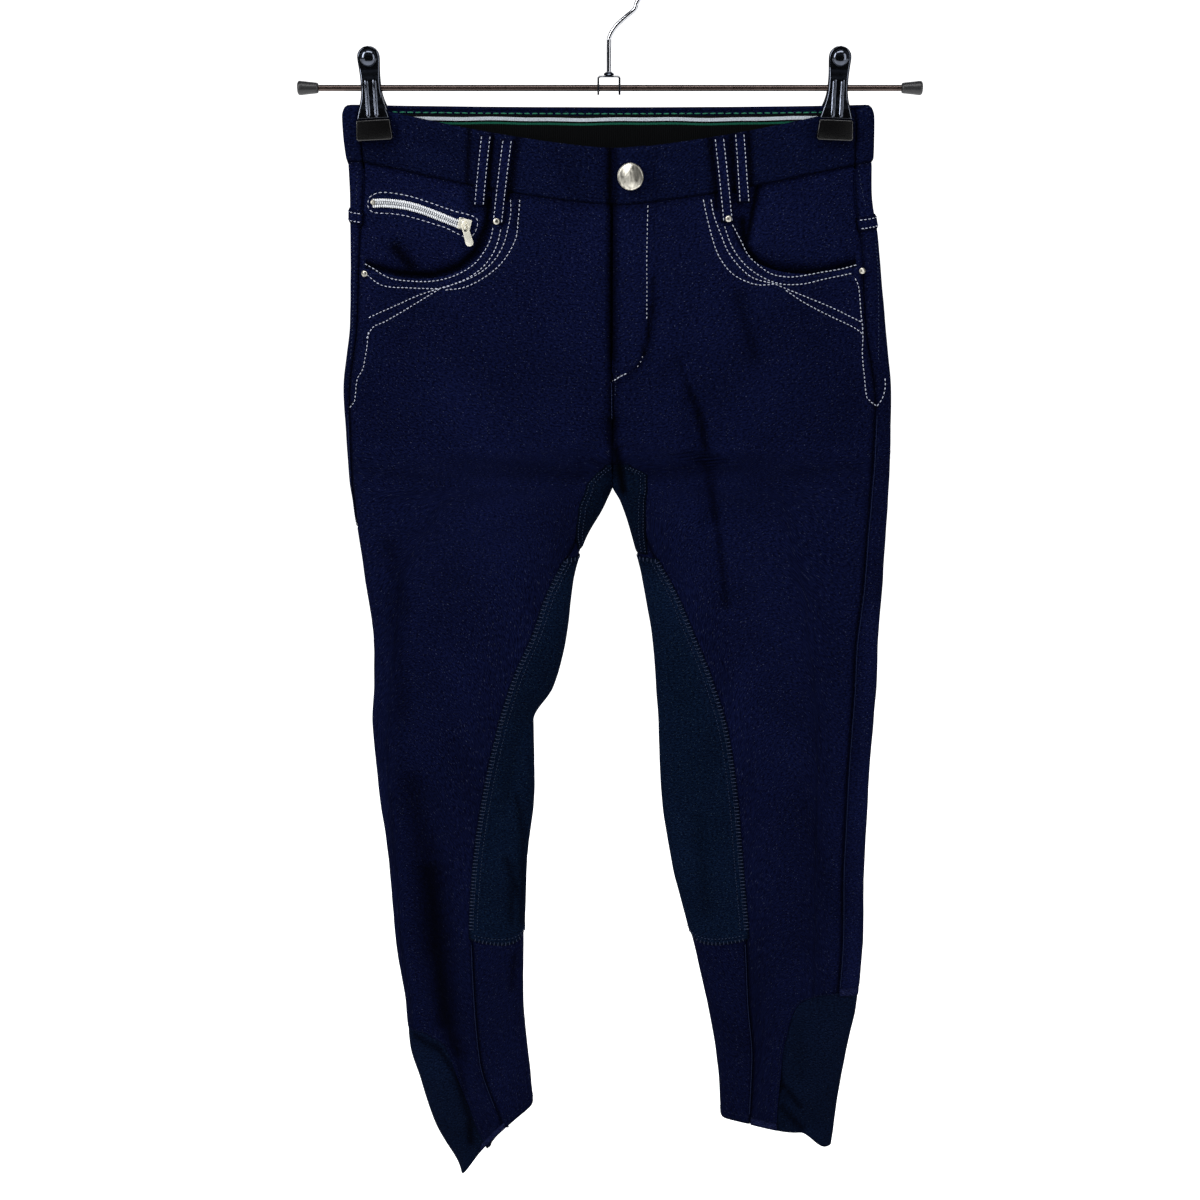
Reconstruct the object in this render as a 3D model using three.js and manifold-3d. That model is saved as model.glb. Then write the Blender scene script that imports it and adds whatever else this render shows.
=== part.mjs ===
// A child's riding breeches hanging by the waistband from a steel clip hanger.
// Millimetres, +Z up, +X to the wearer's left, the front of the breeches faces -Y.
// The origin is the inside top of the hanger's hook, where a rail holds it.
// "Right" and "left" are the wearer's, so the right leg is on the viewer's left.
import * as THREE from 'three';
import * as BufferGeometryUtils from 'three/addons/utils/BufferGeometryUtils.js';
import Module from 'manifold-3d';

const wasm = await Module();
wasm.setup();

// Cloth sizes
const SEAM_GAP = 0.3;            // air between two pieces that are sewn together
const CLOTH = 1.6;               // one stretch cotton wall
const PATCH = 1.1;               // suede-like patch laid on the cloth
const BAND_OUT = 0.8;            // how far the waistband stands proud of the leg panels
const BAND_IN = 1.8;             // how far it reaches inwards
const BAND_HEIGHT = 35.5;
const ELASTIC = 1.0;
const ELASTIC_HEIGHT = 33;
const FLATNESS = 0.08;           // facets closer to flat than this are joined
const LENS = 2.5;                // superellipse power of a hanging, flattened tube

// Levels of the garment
const CENTRE_X = 3;              // centre front and centre back seams
const CROTCH_Z = -348;
const FRONT_RISE_TURN_Z = -316;  // the front rise starts to curve under here
const BACK_RISE_TURN_Z = -304;
const HEM_Z = -890;

// Hanger sizes
const ROD_Z = -86.5;
const ROD_RADIUS = 2;
const ROD_X = 1;
const ROD_LENGTH = 400;
const CAP_LENGTH = 13;
const WIRE = 3;
const HOOK_RADIUS = 22.5;        // wire centre line, so the inner top is at z = 0
const PAD = { width: 23.6, height: 13, thick: 4.6, top: -105.5 };
const PINCH = 2.7;               // half the thickness of the cloth between the pads
const CLIPS = [
  { name: 'right', x: -150.5, lean: 3.1 },
  { name: 'left', x: 145.7, lean: -2.4 },
];

function table(names, rows) {
  return rows.map((row) => Object.fromEntries(names.map((name, i) => [name, row[i]])));
}

// One row for each level: where the outline of each leg lies, and how far
// the front and back walls stand from the middle plane
const SECTIONS = table(
  ['z', 'rightOut', 'rightIn', 'leftIn', 'leftOut', 'front', 'back'],
  [
    [-94, -167, 3, 3, 167, 21, 12],
    [-104, -170, 3, 3, 170, 21, 12],
    [-150, -168.5, 3, 3, 171.5, 21, 14],
    [-183, -169.5, 3, 3, 177.5, 20.5, 16],
    [-236, -172.5, 3, 3, 185, 20, 18.5],
    [-291, -179, 3, 3, 192, 19, 19.5],
    [-348, -178, 3, 3, 194, 17, 18.5],
    [-362, -176.5, -2, 9.5, 194, 16.5, 18],
    [-391, -173, -17, 18.5, 193.5, 16, 17],
    [-420, -170.5, -25, 25.5, 193.5, 15.5, 16.5],
    [-466, -166.5, -31, 33, 192.5, 15, 15.5],
    [-500, -167.5, -39.5, 36, 193, 14.5, 15],
    [-528, -170, -54.5, 38, 192.5, 14, 14.5],
    [-576, -168, -54.5, 40, 191.5, 14, 14],
    [-641, -162.5, -60.5, 49, 191.5, 13.5, 14],
    [-709, -160, -63.5, 65, 193.5, 13, 13.5],
    [-762, -154.5, -64, 76.5, 192, 12.5, 13],
    [-798, -153, -62, 83, 187, 12, 12.5],
    [-834, -145, -59, 87.5, 182.5, 11.5, 12],
    [-871, -136, -57, 89.5, 179.5, 11, 11],
    [-924, -116, -60, 91, 176, 10, 10],
  ],
);

// Distance of the side seam in from the outer edge, on the front; less than 0 is behind it
const SIDE_SEAM = table(['z', 'right', 'left'], [
  [-130, 10, 11],
  [-190, 6, 12],
  [-240, 5, 14],
  [-290, 4, 11.5],
  [-360, 1.5, 14],
  [-420, -3, 15],
  [-480, -5, 17.5],
  [-930, -6, 16.5],
]);

// The inner leg seam lies on the front of each leg, under the patch edge at the knee
const FRONT_SEAM = table(['z', 'right', 'left'], [
  [-348, 3, 3],
  [-362, -9, 15],
  [-396, -25, 30],
  [-428, -41, 47],
  [-457, -51, 59],
  [-490, -65, 72],
  [-530, -77, 84],
  [-580, -88, 92],
  [-640, -97, 98],
  [-700, -101, 104],
  [-760, -100, 108],
  [-810, -97, 112.5],
  [-860, -84, 112],
  [-930, -64, 111],
]);

// The slate piece between the thighs: its front edge, in from the inner edge of the leg
const GUSSET = table(['z', 'right', 'left'], [
  [-333, 5, 12],
  [-341, 12, 24],
  [-349, 18, 24],
  [-360, 18, 17.5],
  [-372, 14, 13],
  [-385, 8, 9.5],
  [-398, 2, 7.5],
  [-415, 1, 4],
  [-430, 1, 1],
]);

// The stretch cuff at the outer ankle: how far its edge reaches in from the outer edge
const CUFF = table(['down', 'right', 'left'], [
  [0, 4, 32],
  [3, 11, 41],
  [8, 19, 47],
  [16, 28, 50],
  [28, 31, 51],
  [48, 32, 51],
  [74, 34, 49],
  [96, 34, 48],
  [150, 27, 46],
]);

// The large folds: a straight trough from (x1, z1) to (x2, z2), deeper where deep is more
const FOLDS = table(['side', 'x1', 'z1', 'x2', 'z2', 'wide', 'deep'], [
  ['front', 56, -292, 72, -372, 7, 3.6],
  ['front', 72, -372, 81, -436, 6, 2.6],
  ['front', 40, -274, 50, -260, 7, 1.6],
  ['front', -137, -640, -129, -800, 17, 4.6],
  ['front', -143, -405, -147, -610, 9, 1.8],
  ['front', -60, -530, -70, -588, 6, 2.4],
  ['front', -60, -600, -64, -660, 5, 2.0],
  ['front', 4, -306, 26, -346, 7, 2.4],
  ['front', 2, -306, -20, -346, 7, 2.0],
  ['front', 33, -222, 30, -262, 4, 1.8],
  ['front', 98, -150, 90, -180, 6, 2.0],
  ['front', -140, -186, -112, -196, 7, 2.2],
  ['back', -60, -300, -84, -380, 10, 3.4],
  ['back', 64, -304, 92, -372, 10, 3.0],
  ['back', -92, -520, -64, -560, 10, 2.6],
  ['back', 70, -530, 120, -548, 11, 2.6],
  ['back', -120, -640, -108, -760, 14, 3.0],
]);

const LEGS = {
  right: { name: 'right', out: 'rightOut', inn: 'rightIn', key: 'right', side: -1 },
  left: { name: 'left', out: 'leftOut', inn: 'leftIn', key: 'left', side: 1 },
};

// A smooth curve through the rows of a table that never overshoots them
function smoothAt(rows, key, at, by = 'z') {
  const sign = rows[1][by] < rows[0][by] ? -1 : 1;
  const t = sign * at;
  const xs = rows.map((row) => sign * row[by]);
  const ys = rows.map((row) => row[key]);
  const last = xs.length - 1;
  if (t <= xs[0]) return ys[0];
  if (t >= xs[last]) return ys[last];
  let k = 0;
  while (t > xs[k + 1]) k += 1;
  const slope = (i) => (ys[i + 1] - ys[i]) / (xs[i + 1] - xs[i]);
  const tangent = (i) => {
    if (i === 0 || i === last) return 0;
    const a = slope(i - 1);
    const b = slope(i);
    return a * b <= 0 ? 0 : (2 * a * b) / (a + b);
  };
  const h = xs[k + 1] - xs[k];
  const s = (t - xs[k]) / h;
  const s2 = s * s;
  const s3 = s2 * s;
  return ys[k] * (2 * s3 - 3 * s2 + 1) + ys[k + 1] * (3 * s2 - 2 * s3)
    + h * tangent(k) * (s3 - 2 * s2 + s) + h * tangent(k + 1) * (s3 - s2);
}

function mix(a, b, t) {
  return a + (b - a) * t;
}

function smoothstep(from, to, x) {
  const t = Math.min(1, Math.max(0, (x - from) / (to - from)));
  return t * t * (3 - 2 * t);
}

// Flattened circle functions: a section is a superellipse, not an ellipse
function flatCos(angle) {
  const c = Math.cos(angle);
  return Math.sign(c) * Math.abs(c) ** (2 / LENS);
}

function flatSin(angle) {
  return Math.max(0, Math.sin(angle)) ** (2 / LENS);
}

function flatAngle(c) {
  return Math.acos(Math.sign(c) * Math.min(1, Math.abs(c)) ** (LENS / 2));
}

// How far round a section goes: a quarter above the crotch, where it ends at the
// centre seam, and a half below it, where it ends at the inner edge of the leg
function turnOf(isBack, z) {
  const start = isBack ? BACK_RISE_TURN_Z : FRONT_RISE_TURN_Z;
  return (Math.PI / 2) * (1 + smoothstep(start, CROTCH_Z, z));
}

// Waistband edges, as heights along the front and along the back
function frontTopZ(x) {
  const reach = Math.min(1, Math.abs(x - 5) / 165);
  return -97 - 25 * (1 - reach ** 1.35);
}

function backTopZ(x) {
  const reach = Math.min(1, Math.abs(x - CENTRE_X) / 165);
  return -97 - 2 * (1 - reach * reach);
}

function waistTopZ(leg, a, z) {
  const { x } = legPoint(leg, a, z);
  return wrapPlace(a) < 0 ? backTopZ(x) : frontTopZ(x);
}

// Half depth of the waist between the two clips
function waistDepth(x, bulge) {
  const inner = { from: -136, to: 132 };
  const middle = (inner.from + inner.to) / 2;
  const reach = Math.abs(x - middle) / ((inner.to - inner.from) / 2);
  return reach >= 1 ? PINCH : mix(PINCH, bulge, 1 - reach * reach);
}

function foldDepth(side, x, z) {
  let sum = 0;
  for (const fold of FOLDS) {
    if (fold.side !== side) continue;
    const dx = fold.x2 - fold.x1;
    const dz = fold.z2 - fold.z1;
    const along = ((x - fold.x1) * dx + (z - fold.z1) * dz) / (dx * dx + dz * dz);
    const t = Math.min(1, Math.max(0, along));
    const away = Math.hypot(x - fold.x1 - t * dx, z - fold.z1 - t * dz);
    sum += fold.deep * Math.exp(-((away / fold.wide) ** 2));
  }
  return sum;
}

// The wearer's left front is folded back along the fly, so it stands proud there
const FLY = { proud: 1.6, reach: 23, straightTo: -232, end: -273 };

function flyRaise(x, z) {
  if (x < CENTRE_X || z < FLY.end) return 0;
  const t = Math.min(1, Math.max(0, (FLY.straightTo - z) / (FLY.straightTo - FLY.end)));
  const reach = FLY.reach * Math.sqrt(1 - t * t);
  return FLY.proud * (1 - smoothstep(reach, reach + 5, x - CENTRE_X));
}

function wrapPlace(a) {
  if (a > 1) return a - 2;
  return a < -1 ? a + 2 : a;
}

// A point on the outside of a leg. The place `a` runs from 0 at the outer edge to 1
// at the inner edge over the front, and from 0 to -1 over the back; a leg below the
// crotch is a whole tube, so there 1 and -1 are the same place.
function legPoint(leg, a, z, plain = false) {
  const t = wrapPlace(a);
  const isBack = t < 0;
  const turn = turnOf(isBack, z);
  const angle = Math.abs(t) * turn;
  const out = smoothAt(SECTIONS, leg.out, z);
  const inn = z > CROTCH_Z ? CENTRE_X : smoothAt(SECTIONS, leg.inn, z);
  const x = mix(out, inn, (1 - flatCos(angle)) / (1 - flatCos(turn)));
  const side = isBack ? 'back' : 'front';
  const round = flatSin(angle);
  const full = smoothAt(SECTIONS, side, z) * round;
  const held = Math.min(full, waistDepth(x, isBack ? 7 : 21));
  let depth = mix(full, held, smoothstep(-195, -123, z));
  depth -= foldDepth(side, x, z) * round;
  if (!isBack && !plain && leg.side > 0) depth += flyRaise(x, z);
  return new THREE.Vector3(x, isBack ? depth : -depth, z);
}

// The same with its outward direction
function legFrame(leg, a, z, plain = false) {
  const h = 0.012;
  let a0 = a - h;
  let a1 = a + h;
  if (z > CROTCH_Z) {
    a0 = Math.max(-0.9999, a0);
    a1 = Math.min(0.9999, a1);
  }
  const across = legPoint(leg, a1, z, plain).sub(legPoint(leg, a0, z, plain));
  const down = legPoint(leg, a, z - 1.5, plain).sub(legPoint(leg, a, z + 1.5, plain));
  const normal = across.cross(down).normalize().multiplyScalar(leg.side);
  return { point: legPoint(leg, a, z, plain), normal };
}

// The place on the front of a leg at a given x, or at an inset from its outer edge
function placeAtX(leg, x, z, isBack = false) {
  const out = smoothAt(SECTIONS, leg.out, z);
  const inn = z > CROTCH_Z ? CENTRE_X : smoothAt(SECTIONS, leg.inn, z);
  const part = Math.min(1, Math.max(0, (x - out) / (inn - out)));
  const turn = turnOf(isBack, z);
  const a = flatAngle(1 - part * (1 - flatCos(turn))) / turn;
  return isBack ? -a : a;
}

function placeAtInset(leg, inset, z) {
  const out = smoothAt(SECTIONS, leg.out, z);
  return placeAtX(leg, out - leg.side * Math.abs(inset), z, inset < 0);
}

function frontFrame(x, z, plain = false) {
  const leg = x < CENTRE_X ? LEGS.right : LEGS.left;
  return legFrame(leg, placeAtX(leg, x, z), z, plain);
}

function backFrame(x, z) {
  const leg = x < CENTRE_X ? LEGS.right : LEGS.left;
  return legFrame(leg, placeAtX(leg, x, z, true), z);
}

// Moves a place along the section by a true distance, for the gaps at seams
function nudge(leg, a, z, distance) {
  const h = 0.004;
  const step = legPoint(leg, a + h, z).distanceTo(legPoint(leg, a, z)) / h;
  const back = legPoint(leg, a, z).distanceTo(legPoint(leg, a - h, z)) / h;
  return a + distance / Math.max(20, Math.min(step, back));
}

const sideSeam = (leg, z) => placeAtInset(leg, smoothAt(SIDE_SEAM, leg.key, z), z);

function frontSeam(leg, z) {
  if (z >= CROTCH_Z) return 1;
  return placeAtX(leg, smoothAt(FRONT_SEAM, leg.key, z), z);
}

// The hem is cut longer at the outer ankle
function hemZ(leg, a) {
  const t = wrapPlace(a);
  const part = (1 - flatCos(Math.abs(t) * Math.PI)) / 2;
  if (leg.side < 0) return mix(-921, -852, part) - (part > 0.85 ? 40 * (part - 0.85) ** 1.5 : 0);
  return -866 - 10 * smoothstep(0.95, 0.3, part) - 16 * smoothstep(0.32, 0.05, part);
}

const parts = new THREE.Group();

const COLOURS = {
  cloth: 0x1b2452, band: 0x182048, patch: 0x1c3044, cuff: 0x1f2f4a, elastic: 0x0b0c12,
  tape: 0xe8e8e4, silver: 0xb9bbc0, chrome: 0xc4c6ca, rubber: 0x121214, stitch: 0xdfe2ea,
};

function addMesh(name, geometry, colour, metal = 0) {
  const material = new THREE.MeshStandardMaterial({
    color: COLOURS[colour], roughness: metal ? 0.25 : 0.85, metalness: metal,
  });
  const mesh = new THREE.Mesh(geometry, material);
  mesh.name = name;
  parts.add(mesh);
  return mesh;
}

// A closed wall: frameOf(u, v) gives the outside of the garment, and the wall
// lies between two heights over it
function wall(columns, rows, frameOf, low, high) {
  const lift = (value, u, v) => (typeof value === 'function' ? value(u, v) : value);
  const positions = [];
  const count = (columns + 1) * (rows + 1);
  for (const value of [high, low]) {
    for (let j = 0; j <= rows; j += 1) {
      for (let i = 0; i <= columns; i += 1) {
        const u = i / columns;
        const v = j / rows;
        const { point, normal } = frameOf(u, v);
        point.addScaledVector(normal, lift(value, u, v));
        positions.push(point.x, point.y, point.z);
      }
    }
  }
  const at = (i, j, layer) => layer * count + j * (columns + 1) + i;
  const index = [];
  const quad = (a, b, c, d) => index.push(a, b, c, a, c, d);
  for (let j = 0; j < rows; j += 1) {
    for (let i = 0; i < columns; i += 1) {
      quad(at(i, j, 0), at(i + 1, j, 0), at(i + 1, j + 1, 0), at(i, j + 1, 0));
      quad(at(i, j, 1), at(i, j + 1, 1), at(i + 1, j + 1, 1), at(i + 1, j, 1));
    }
  }
  for (let i = 0; i < columns; i += 1) {
    quad(at(i + 1, 0, 0), at(i, 0, 0), at(i, 0, 1), at(i + 1, 0, 1));
    quad(at(i, rows, 0), at(i + 1, rows, 0), at(i + 1, rows, 1), at(i, rows, 1));
  }
  for (let j = 0; j < rows; j += 1) {
    quad(at(0, j, 0), at(0, j + 1, 0), at(0, j + 1, 1), at(0, j, 1));
    quad(at(columns, j + 1, 0), at(columns, j, 0), at(columns, j, 1), at(columns, j + 1, 1));
  }
  const geometry = new THREE.BufferGeometry();
  geometry.setAttribute('position', new THREE.Float32BufferAttribute(positions, 3));
  geometry.setIndex(index);
  return outwards(geometry);
}

function signedVolume(geometry) {
  const p = geometry.attributes.position;
  const index = geometry.index.array;
  const [a, b, c] = [new THREE.Vector3(), new THREE.Vector3(), new THREE.Vector3()];
  let sum = 0;
  for (let i = 0; i < index.length; i += 3) {
    a.fromBufferAttribute(p, index[i]);
    b.fromBufferAttribute(p, index[i + 1]);
    c.fromBufferAttribute(p, index[i + 2]);
    sum += a.dot(b.cross(c)) / 6;
  }
  return sum;
}

function outwards(geometry) {
  if (signedVolume(geometry) < 0) {
    const index = geometry.index.array;
    for (let i = 0; i < index.length; i += 3) {
      [index[i + 1], index[i + 2]] = [index[i + 2], index[i + 1]];
    }
  }
  return geometry;
}

function toSolid(geometry) {
  const bare = geometry.clone();
  bare.deleteAttribute('normal');
  bare.deleteAttribute('uv');
  const merged = BufferGeometryUtils.mergeVertices(bare, 1e-5);
  return new wasm.Manifold(new wasm.Mesh({
    numProp: 3,
    vertProperties: new Float32Array(merged.attributes.position.array),
    triVerts: new Uint32Array(merged.index.array),
  }));
}

function fromSolid(solid) {
  const mesh = solid.getMesh();
  const geometry = new THREE.BufferGeometry();
  geometry.setAttribute('position', new THREE.BufferAttribute(mesh.vertProperties, 3));
  geometry.setIndex(new THREE.BufferAttribute(mesh.triVerts, 1));
  return geometry;
}

// Trims a piece by its neighbours and keeps the piece without loose crumbs
function cut(geometry, ...cutters) {
  let solid = toSolid(geometry);
  for (const cutter of cutters) solid = solid.subtract(toSolid(cutter));
  const bodies = solid.simplify(FLATNESS).decompose();
  bodies.sort((a, b) => b.volume() - a.volume());
  return fromSolid(bodies[0]);
}

function lathe(profile, segments) {
  return new THREE.LatheGeometry(profile.map(([x, y]) => new THREE.Vector2(x, y)), segments);
}

const KNEE_TOP = -401;
const KNEE_LOW = -701;
const KNEE_ROWS = 9;
const FRONT_COLUMNS = 9;
const BACK_COLUMNS = 10;

// Row levels of a leg panel, closer together where the crotch turns under
function panelLevels() {
  const levels = [];
  for (let z = -135; z > -300; z -= 21) levels.push(z);
  for (let z = -300; z > -380; z -= 9) levels.push(z);
  levels.push(-381);
  for (let k = 0; k <= KNEE_ROWS; k += 1) levels.push(mix(KNEE_TOP, KNEE_LOW, k / KNEE_ROWS));
  for (let k = 1; k <= 5; k += 1) levels.push(mix(KNEE_LOW, HEM_Z, k / 5));
  return levels;
}

const LEVELS = panelLevels();

// Walks from the waist seam to the hem; the first rows follow the seam, the last the hem
function panelZ(leg, a, v) {
  const place = v * (LEVELS.length - 1);
  const k = Math.min(LEVELS.length - 2, Math.floor(place));
  const z = mix(LEVELS[k], LEVELS[k + 1], place - k);
  const seam = waistTopZ(leg, a, z) - BAND_HEIGHT + 1;
  const top = (seam - LEVELS[0]) * Math.max(0, (z + 300) / (LEVELS[0] + 300));
  const hem = (hemZ(leg, a) - HEM_Z) * Math.max(0, (z + 740) / (HEM_Z + 740));
  return z + top + hem;
}

function panelFrame(leg, u, v, fromPlace, toPlace) {
  let a = u;
  let z = 0;
  for (let k = 0; k < 4; k += 1) {
    z = panelZ(leg, a, v);
    a = mix(fromPlace(z), toPlace(z), u);
  }
  return legFrame(leg, a, z);
}

// Pocket mouths: a flat curve from the side seam that turns up to the waistband
const MOUTH = {
  right: { outer: -162, inner: -75, low: -206, side: -200 },
  left: { outer: 170, inner: 79.5, low: -203, side: -198 },
};

function mouthZ(leg, x) {
  const mouth = MOUTH[leg.key];
  const middle = mix(mouth.outer, mouth.inner, 0.42);
  if (leg.side * (x - middle) > 0) {
    return mix(mouth.low, mouth.side, Math.min(1, (x - middle) / (mouth.outer - middle)));
  }
  const reach = Math.min(1, Math.abs((x - middle) / (mouth.inner - middle)));
  return -160 + (mouth.low + 160) * (1 - reach ** 2.2) ** (1 / 2.6);
}

// The region above a pocket mouth, from the side seam to the mouth's inner end
function pocketFrame(leg, u, v, grow, top) {
  const mouth = MOUTH[leg.key];
  const inner = mouth.inner - leg.side * grow;
  const side = (z) => legPoint(leg, sideSeam(leg, z), z).x + leg.side * (grow > 0 ? -0.4 : 4);
  const spread = Math.sin((u * Math.PI) / 2);
  let z = -180;
  let x = inner;
  for (let k = 0; k < 4; k += 1) {
    x = mix(side(z), inner, spread);
    const low = mouthZ(leg, mouth.inner + (x - inner) * ((mouth.outer - mouth.inner)
      / (mouth.outer - inner))) - grow;
    const high = frontTopZ(x) - BAND_HEIGHT + top;
    z = mix(high, Math.min(low, high - 1), v);
  }
  return legFrame(leg, placeAtX(leg, x, z), z, true);
}

const CUFF_TOP = { right: -783, left: -751 };

function cuffFrame(leg, u, v, grow) {
  const top = CUFF_TOP[leg.key] + grow;
  let a = 0;
  let z = top;
  for (let k = 0; k < 4; k += 1) {
    const low = hemZ(leg, a) - (grow > 0 ? 6 : 0);
    z = mix(top, low, v ** 1.6);
    if (leg.side < 0) z = mix(z - 14 * Math.abs(a) * (1 - v), z, v);
    const down = Math.max(0, CUFF_TOP[leg.key] - z);
    const inset = smoothAt(CUFF, leg.key, down, 'down') + grow;
    const front = placeAtInset(leg, inset, z);
    const back = placeAtInset(leg, -inset, z);
    a = mix(back, front, u);
  }
  return legFrame(leg, a, z);
}

// The front and back panels of a leg; `margin` is where each edge ends from its seam,
// so a panel with a margin under 0 reaches past its seams and serves to cut a neighbour
function panelWalls(leg, margin, low, high) {
  const front = wall(FRONT_COLUMNS, LEVELS.length - 1, (u, v) => panelFrame(
    leg, u, v,
    (z) => nudge(leg, sideSeam(leg, z), z, margin),
    (z) => nudge(leg, frontSeam(leg, z), z, z >= CROTCH_Z ? -Math.max(0.05, margin) : -margin),
  ), low, high);
  const back = wall(
    BACK_COLUMNS, LEVELS.length - 1, (u, v) => backPanelFrame(leg, u, v, margin), low, high,
  );
  return [front, back];
}

function backPanelFrame(leg, u, v, margin) {
  return panelFrame(
    leg, u, v,
    (z) => nudge(leg, sideSeam(leg, z), z, -margin),
    (z) => (z >= CROTCH_Z
      ? nudge(leg, -1, z, Math.max(0.05, margin))
      : nudge(leg, frontSeam(leg, z) - 2, z, margin)),
  );
}

// Everything on the far side of the centre seam
function acrossCentre(leg) {
  const box = new THREE.BoxGeometry(60, 80, 900);
  box.translate(CENTRE_X - leg.side * (30 - SEAM_GAP / 2), 0, -450);
  return box;
}

function addLegPanels(leg) {
  const [front, back] = panelWalls(leg, SEAM_GAP / 2, -CLOTH, 0);
  const grown = panelWalls(leg, -SEAM_GAP / 2, -CLOTH - SEAM_GAP, SEAM_GAP + 0.1);
  const cuffHole = wall(10, 7, (u, v) => cuffFrame(leg, u, v, 2 * SEAM_GAP), -CLOTH - 2, 2);
  const mouthHole = wall(10, 4, (u, v) => pocketFrame(leg, u, v, 0, 4), -CLOTH - 1.2, 3);
  addMesh(`front_${leg.name}`, cut(front, cuffHole, mouthHole, ...bandHoles), 'cloth');
  addMesh(`back_${leg.name}`, cut(back, cuffHole, ...bandHoles), 'cloth');
  addMesh(`cuff_${leg.name}`, wall(10, 7, (u, v) => cuffFrame(leg, u, v, 0), -CLOTH, -0.2), 'cuff');

  const pocket = (low, high) => wall(8, 4, (u, v) => pocketFrame(leg, u, v, 7, 1), low, high);
  const panel = pocket(-2 * CLOTH - SEAM_GAP, -CLOTH);
  addMesh(`pocket_panel_${leg.name}`, cut(panel, ...grown, ...bandHoles), 'cloth');
  if (leg.side < 0) {
    zipBed.push(pocket(-2 * CLOTH - 2 * SEAM_GAP, -CLOTH));
  }

  addPatches(leg, grown);
  addSideTab(leg, grown);
  addHemFacing(leg, grown);
}

// Slate pieces, laid on the leg panels round the inner edge of each leg
const onCloth = -0.1;

function addPatches(leg, panels) {
  // The knee patch follows the columns and rows of the back panel, from the middle of
  // the back round the inner edge to just over the seam on the front
  const first = 5;
  const columns = BACK_COLUMNS - first + 1;
  const firstRow = LEVELS.indexOf(KNEE_TOP);
  const knee = (u, v) => {
    const column = first + Math.round(u * columns);
    const row = (firstRow + v * KNEE_ROWS) / (LEVELS.length - 1);
    if (column <= BACK_COLUMNS) {
      return backPanelFrame(leg, column / BACK_COLUMNS, row, SEAM_GAP / 2);
    }
    const z = mix(KNEE_TOP, KNEE_LOW, v);
    const x = smoothAt(FRONT_SEAM, leg.key, z) + leg.side * 2.5;
    return legFrame(leg, placeAtX(leg, x, z), z);
  };
  addMesh(`knee_patch_${leg.name}`, cut(
    wall(columns, KNEE_ROWS, knee, SEAM_GAP + 0.1, SEAM_GAP + PATCH + 0.1), panels[0],
  ), 'patch');
  const lifted = panelWalls(leg, -SEAM_GAP / 2, -CLOTH - SEAM_GAP, 3 * SEAM_GAP);
  const gussetLow = leg.side < 0 ? -396 : -399;
  const gusset = (u, v) => {
    const z = mix(-333, gussetLow, v);
    const inn = z > CROTCH_Z ? CENTRE_X : smoothAt(SECTIONS, leg.inn, z);
    const inset = smoothAt(GUSSET, leg.key, z);
    const front = placeAtX(leg, inn + leg.side * inset, z);
    const wrap = smoothstep(CROTCH_Z - 1, CROTCH_Z - 26, z);
    const end = z > CROTCH_Z ? nudge(leg, 1, z, -1) : nudge(leg, mix(1, 2 - front, wrap), z, -1);
    return legFrame(leg, mix(front, Math.max(front + 0.01, end), u), z);
  };
  const gussetWall = wall(4, 7, gusset, onCloth, SEAM_GAP + PATCH + 0.6);
  addMesh(`thigh_patch_${leg.name}`, cut(gussetWall, ...lifted, acrossCentre(leg)), 'patch');
}

// A place on the waistband of one leg's half, `v` from its top edge down
function bandFrame(leg, u, v, from, to) {
  let a = u;
  let z = -110;
  for (let k = 0; k < 4; k += 1) {
    z = waistTopZ(leg, a, z) - v * BAND_HEIGHT;
    a = mix(from(z), to(z), u);
  }
  return legFrame(leg, a, z);
}

// The right front band runs on under the left one, stepped inwards there
const UNDERLAP = { step: -14, end: 24, drop: 1.4 };

function rightBandX(u, z) {
  const side = legPoint(LEGS.right, sideSeam(LEGS.right, z), z).x + 0.25;
  return mix(side, UNDERLAP.end, 1 - (1 - u) ** 1.25);
}

// The three lengths of the waistband; `grow` makes the cutters that trim what meets them
function bandWalls(grow) {
  const half = SEAM_GAP / 2 - grow;
  const tall = 1 + grow / BAND_HEIGHT;
  const low = -BAND_IN - grow;
  const high = BAND_OUT + grow;
  const { right, left } = LEGS;
  const frontLeft = wall(14, 2, (u, v) => bandFrame(
    left, u, v * tall,
    (z) => nudge(left, sideSeam(left, z), z, half), () => (grow ? 1 : 0.9985),
  ), low, high);
  const drop = (u) => UNDERLAP.drop * smoothstep(UNDERLAP.step, CENTRE_X - 2, rightBandX(u, -130));
  const frontRight = wall(20, 2, (u, v) => {
    let z = -110;
    let x = 0;
    for (let k = 0; k < 4; k += 1) {
      x = rightBandX(u, z);
      z = frontTopZ(x) - v * tall * BAND_HEIGHT;
    }
    return frontFrame(x, z, true);
  }, (u) => low - drop(u), (u) => high - drop(u));
  const back = wall(26, 2, (u, v) => {
    const leg = u < 0.5 ? right : left;
    return bandFrame(
      leg, u < 0.5 ? u * 2 : 2 - u * 2, v * tall,
      (z) => nudge(leg, sideSeam(leg, z), z, -half), () => -0.9999,
    );
  }, low, high);
  return { frontLeft, frontRight, back };
}

const band = bandWalls(0);
const grownBand = bandWalls(SEAM_GAP + 0.05);
const bandHoles = [grownBand.frontLeft, grownBand.frontRight, grownBand.back];

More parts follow.
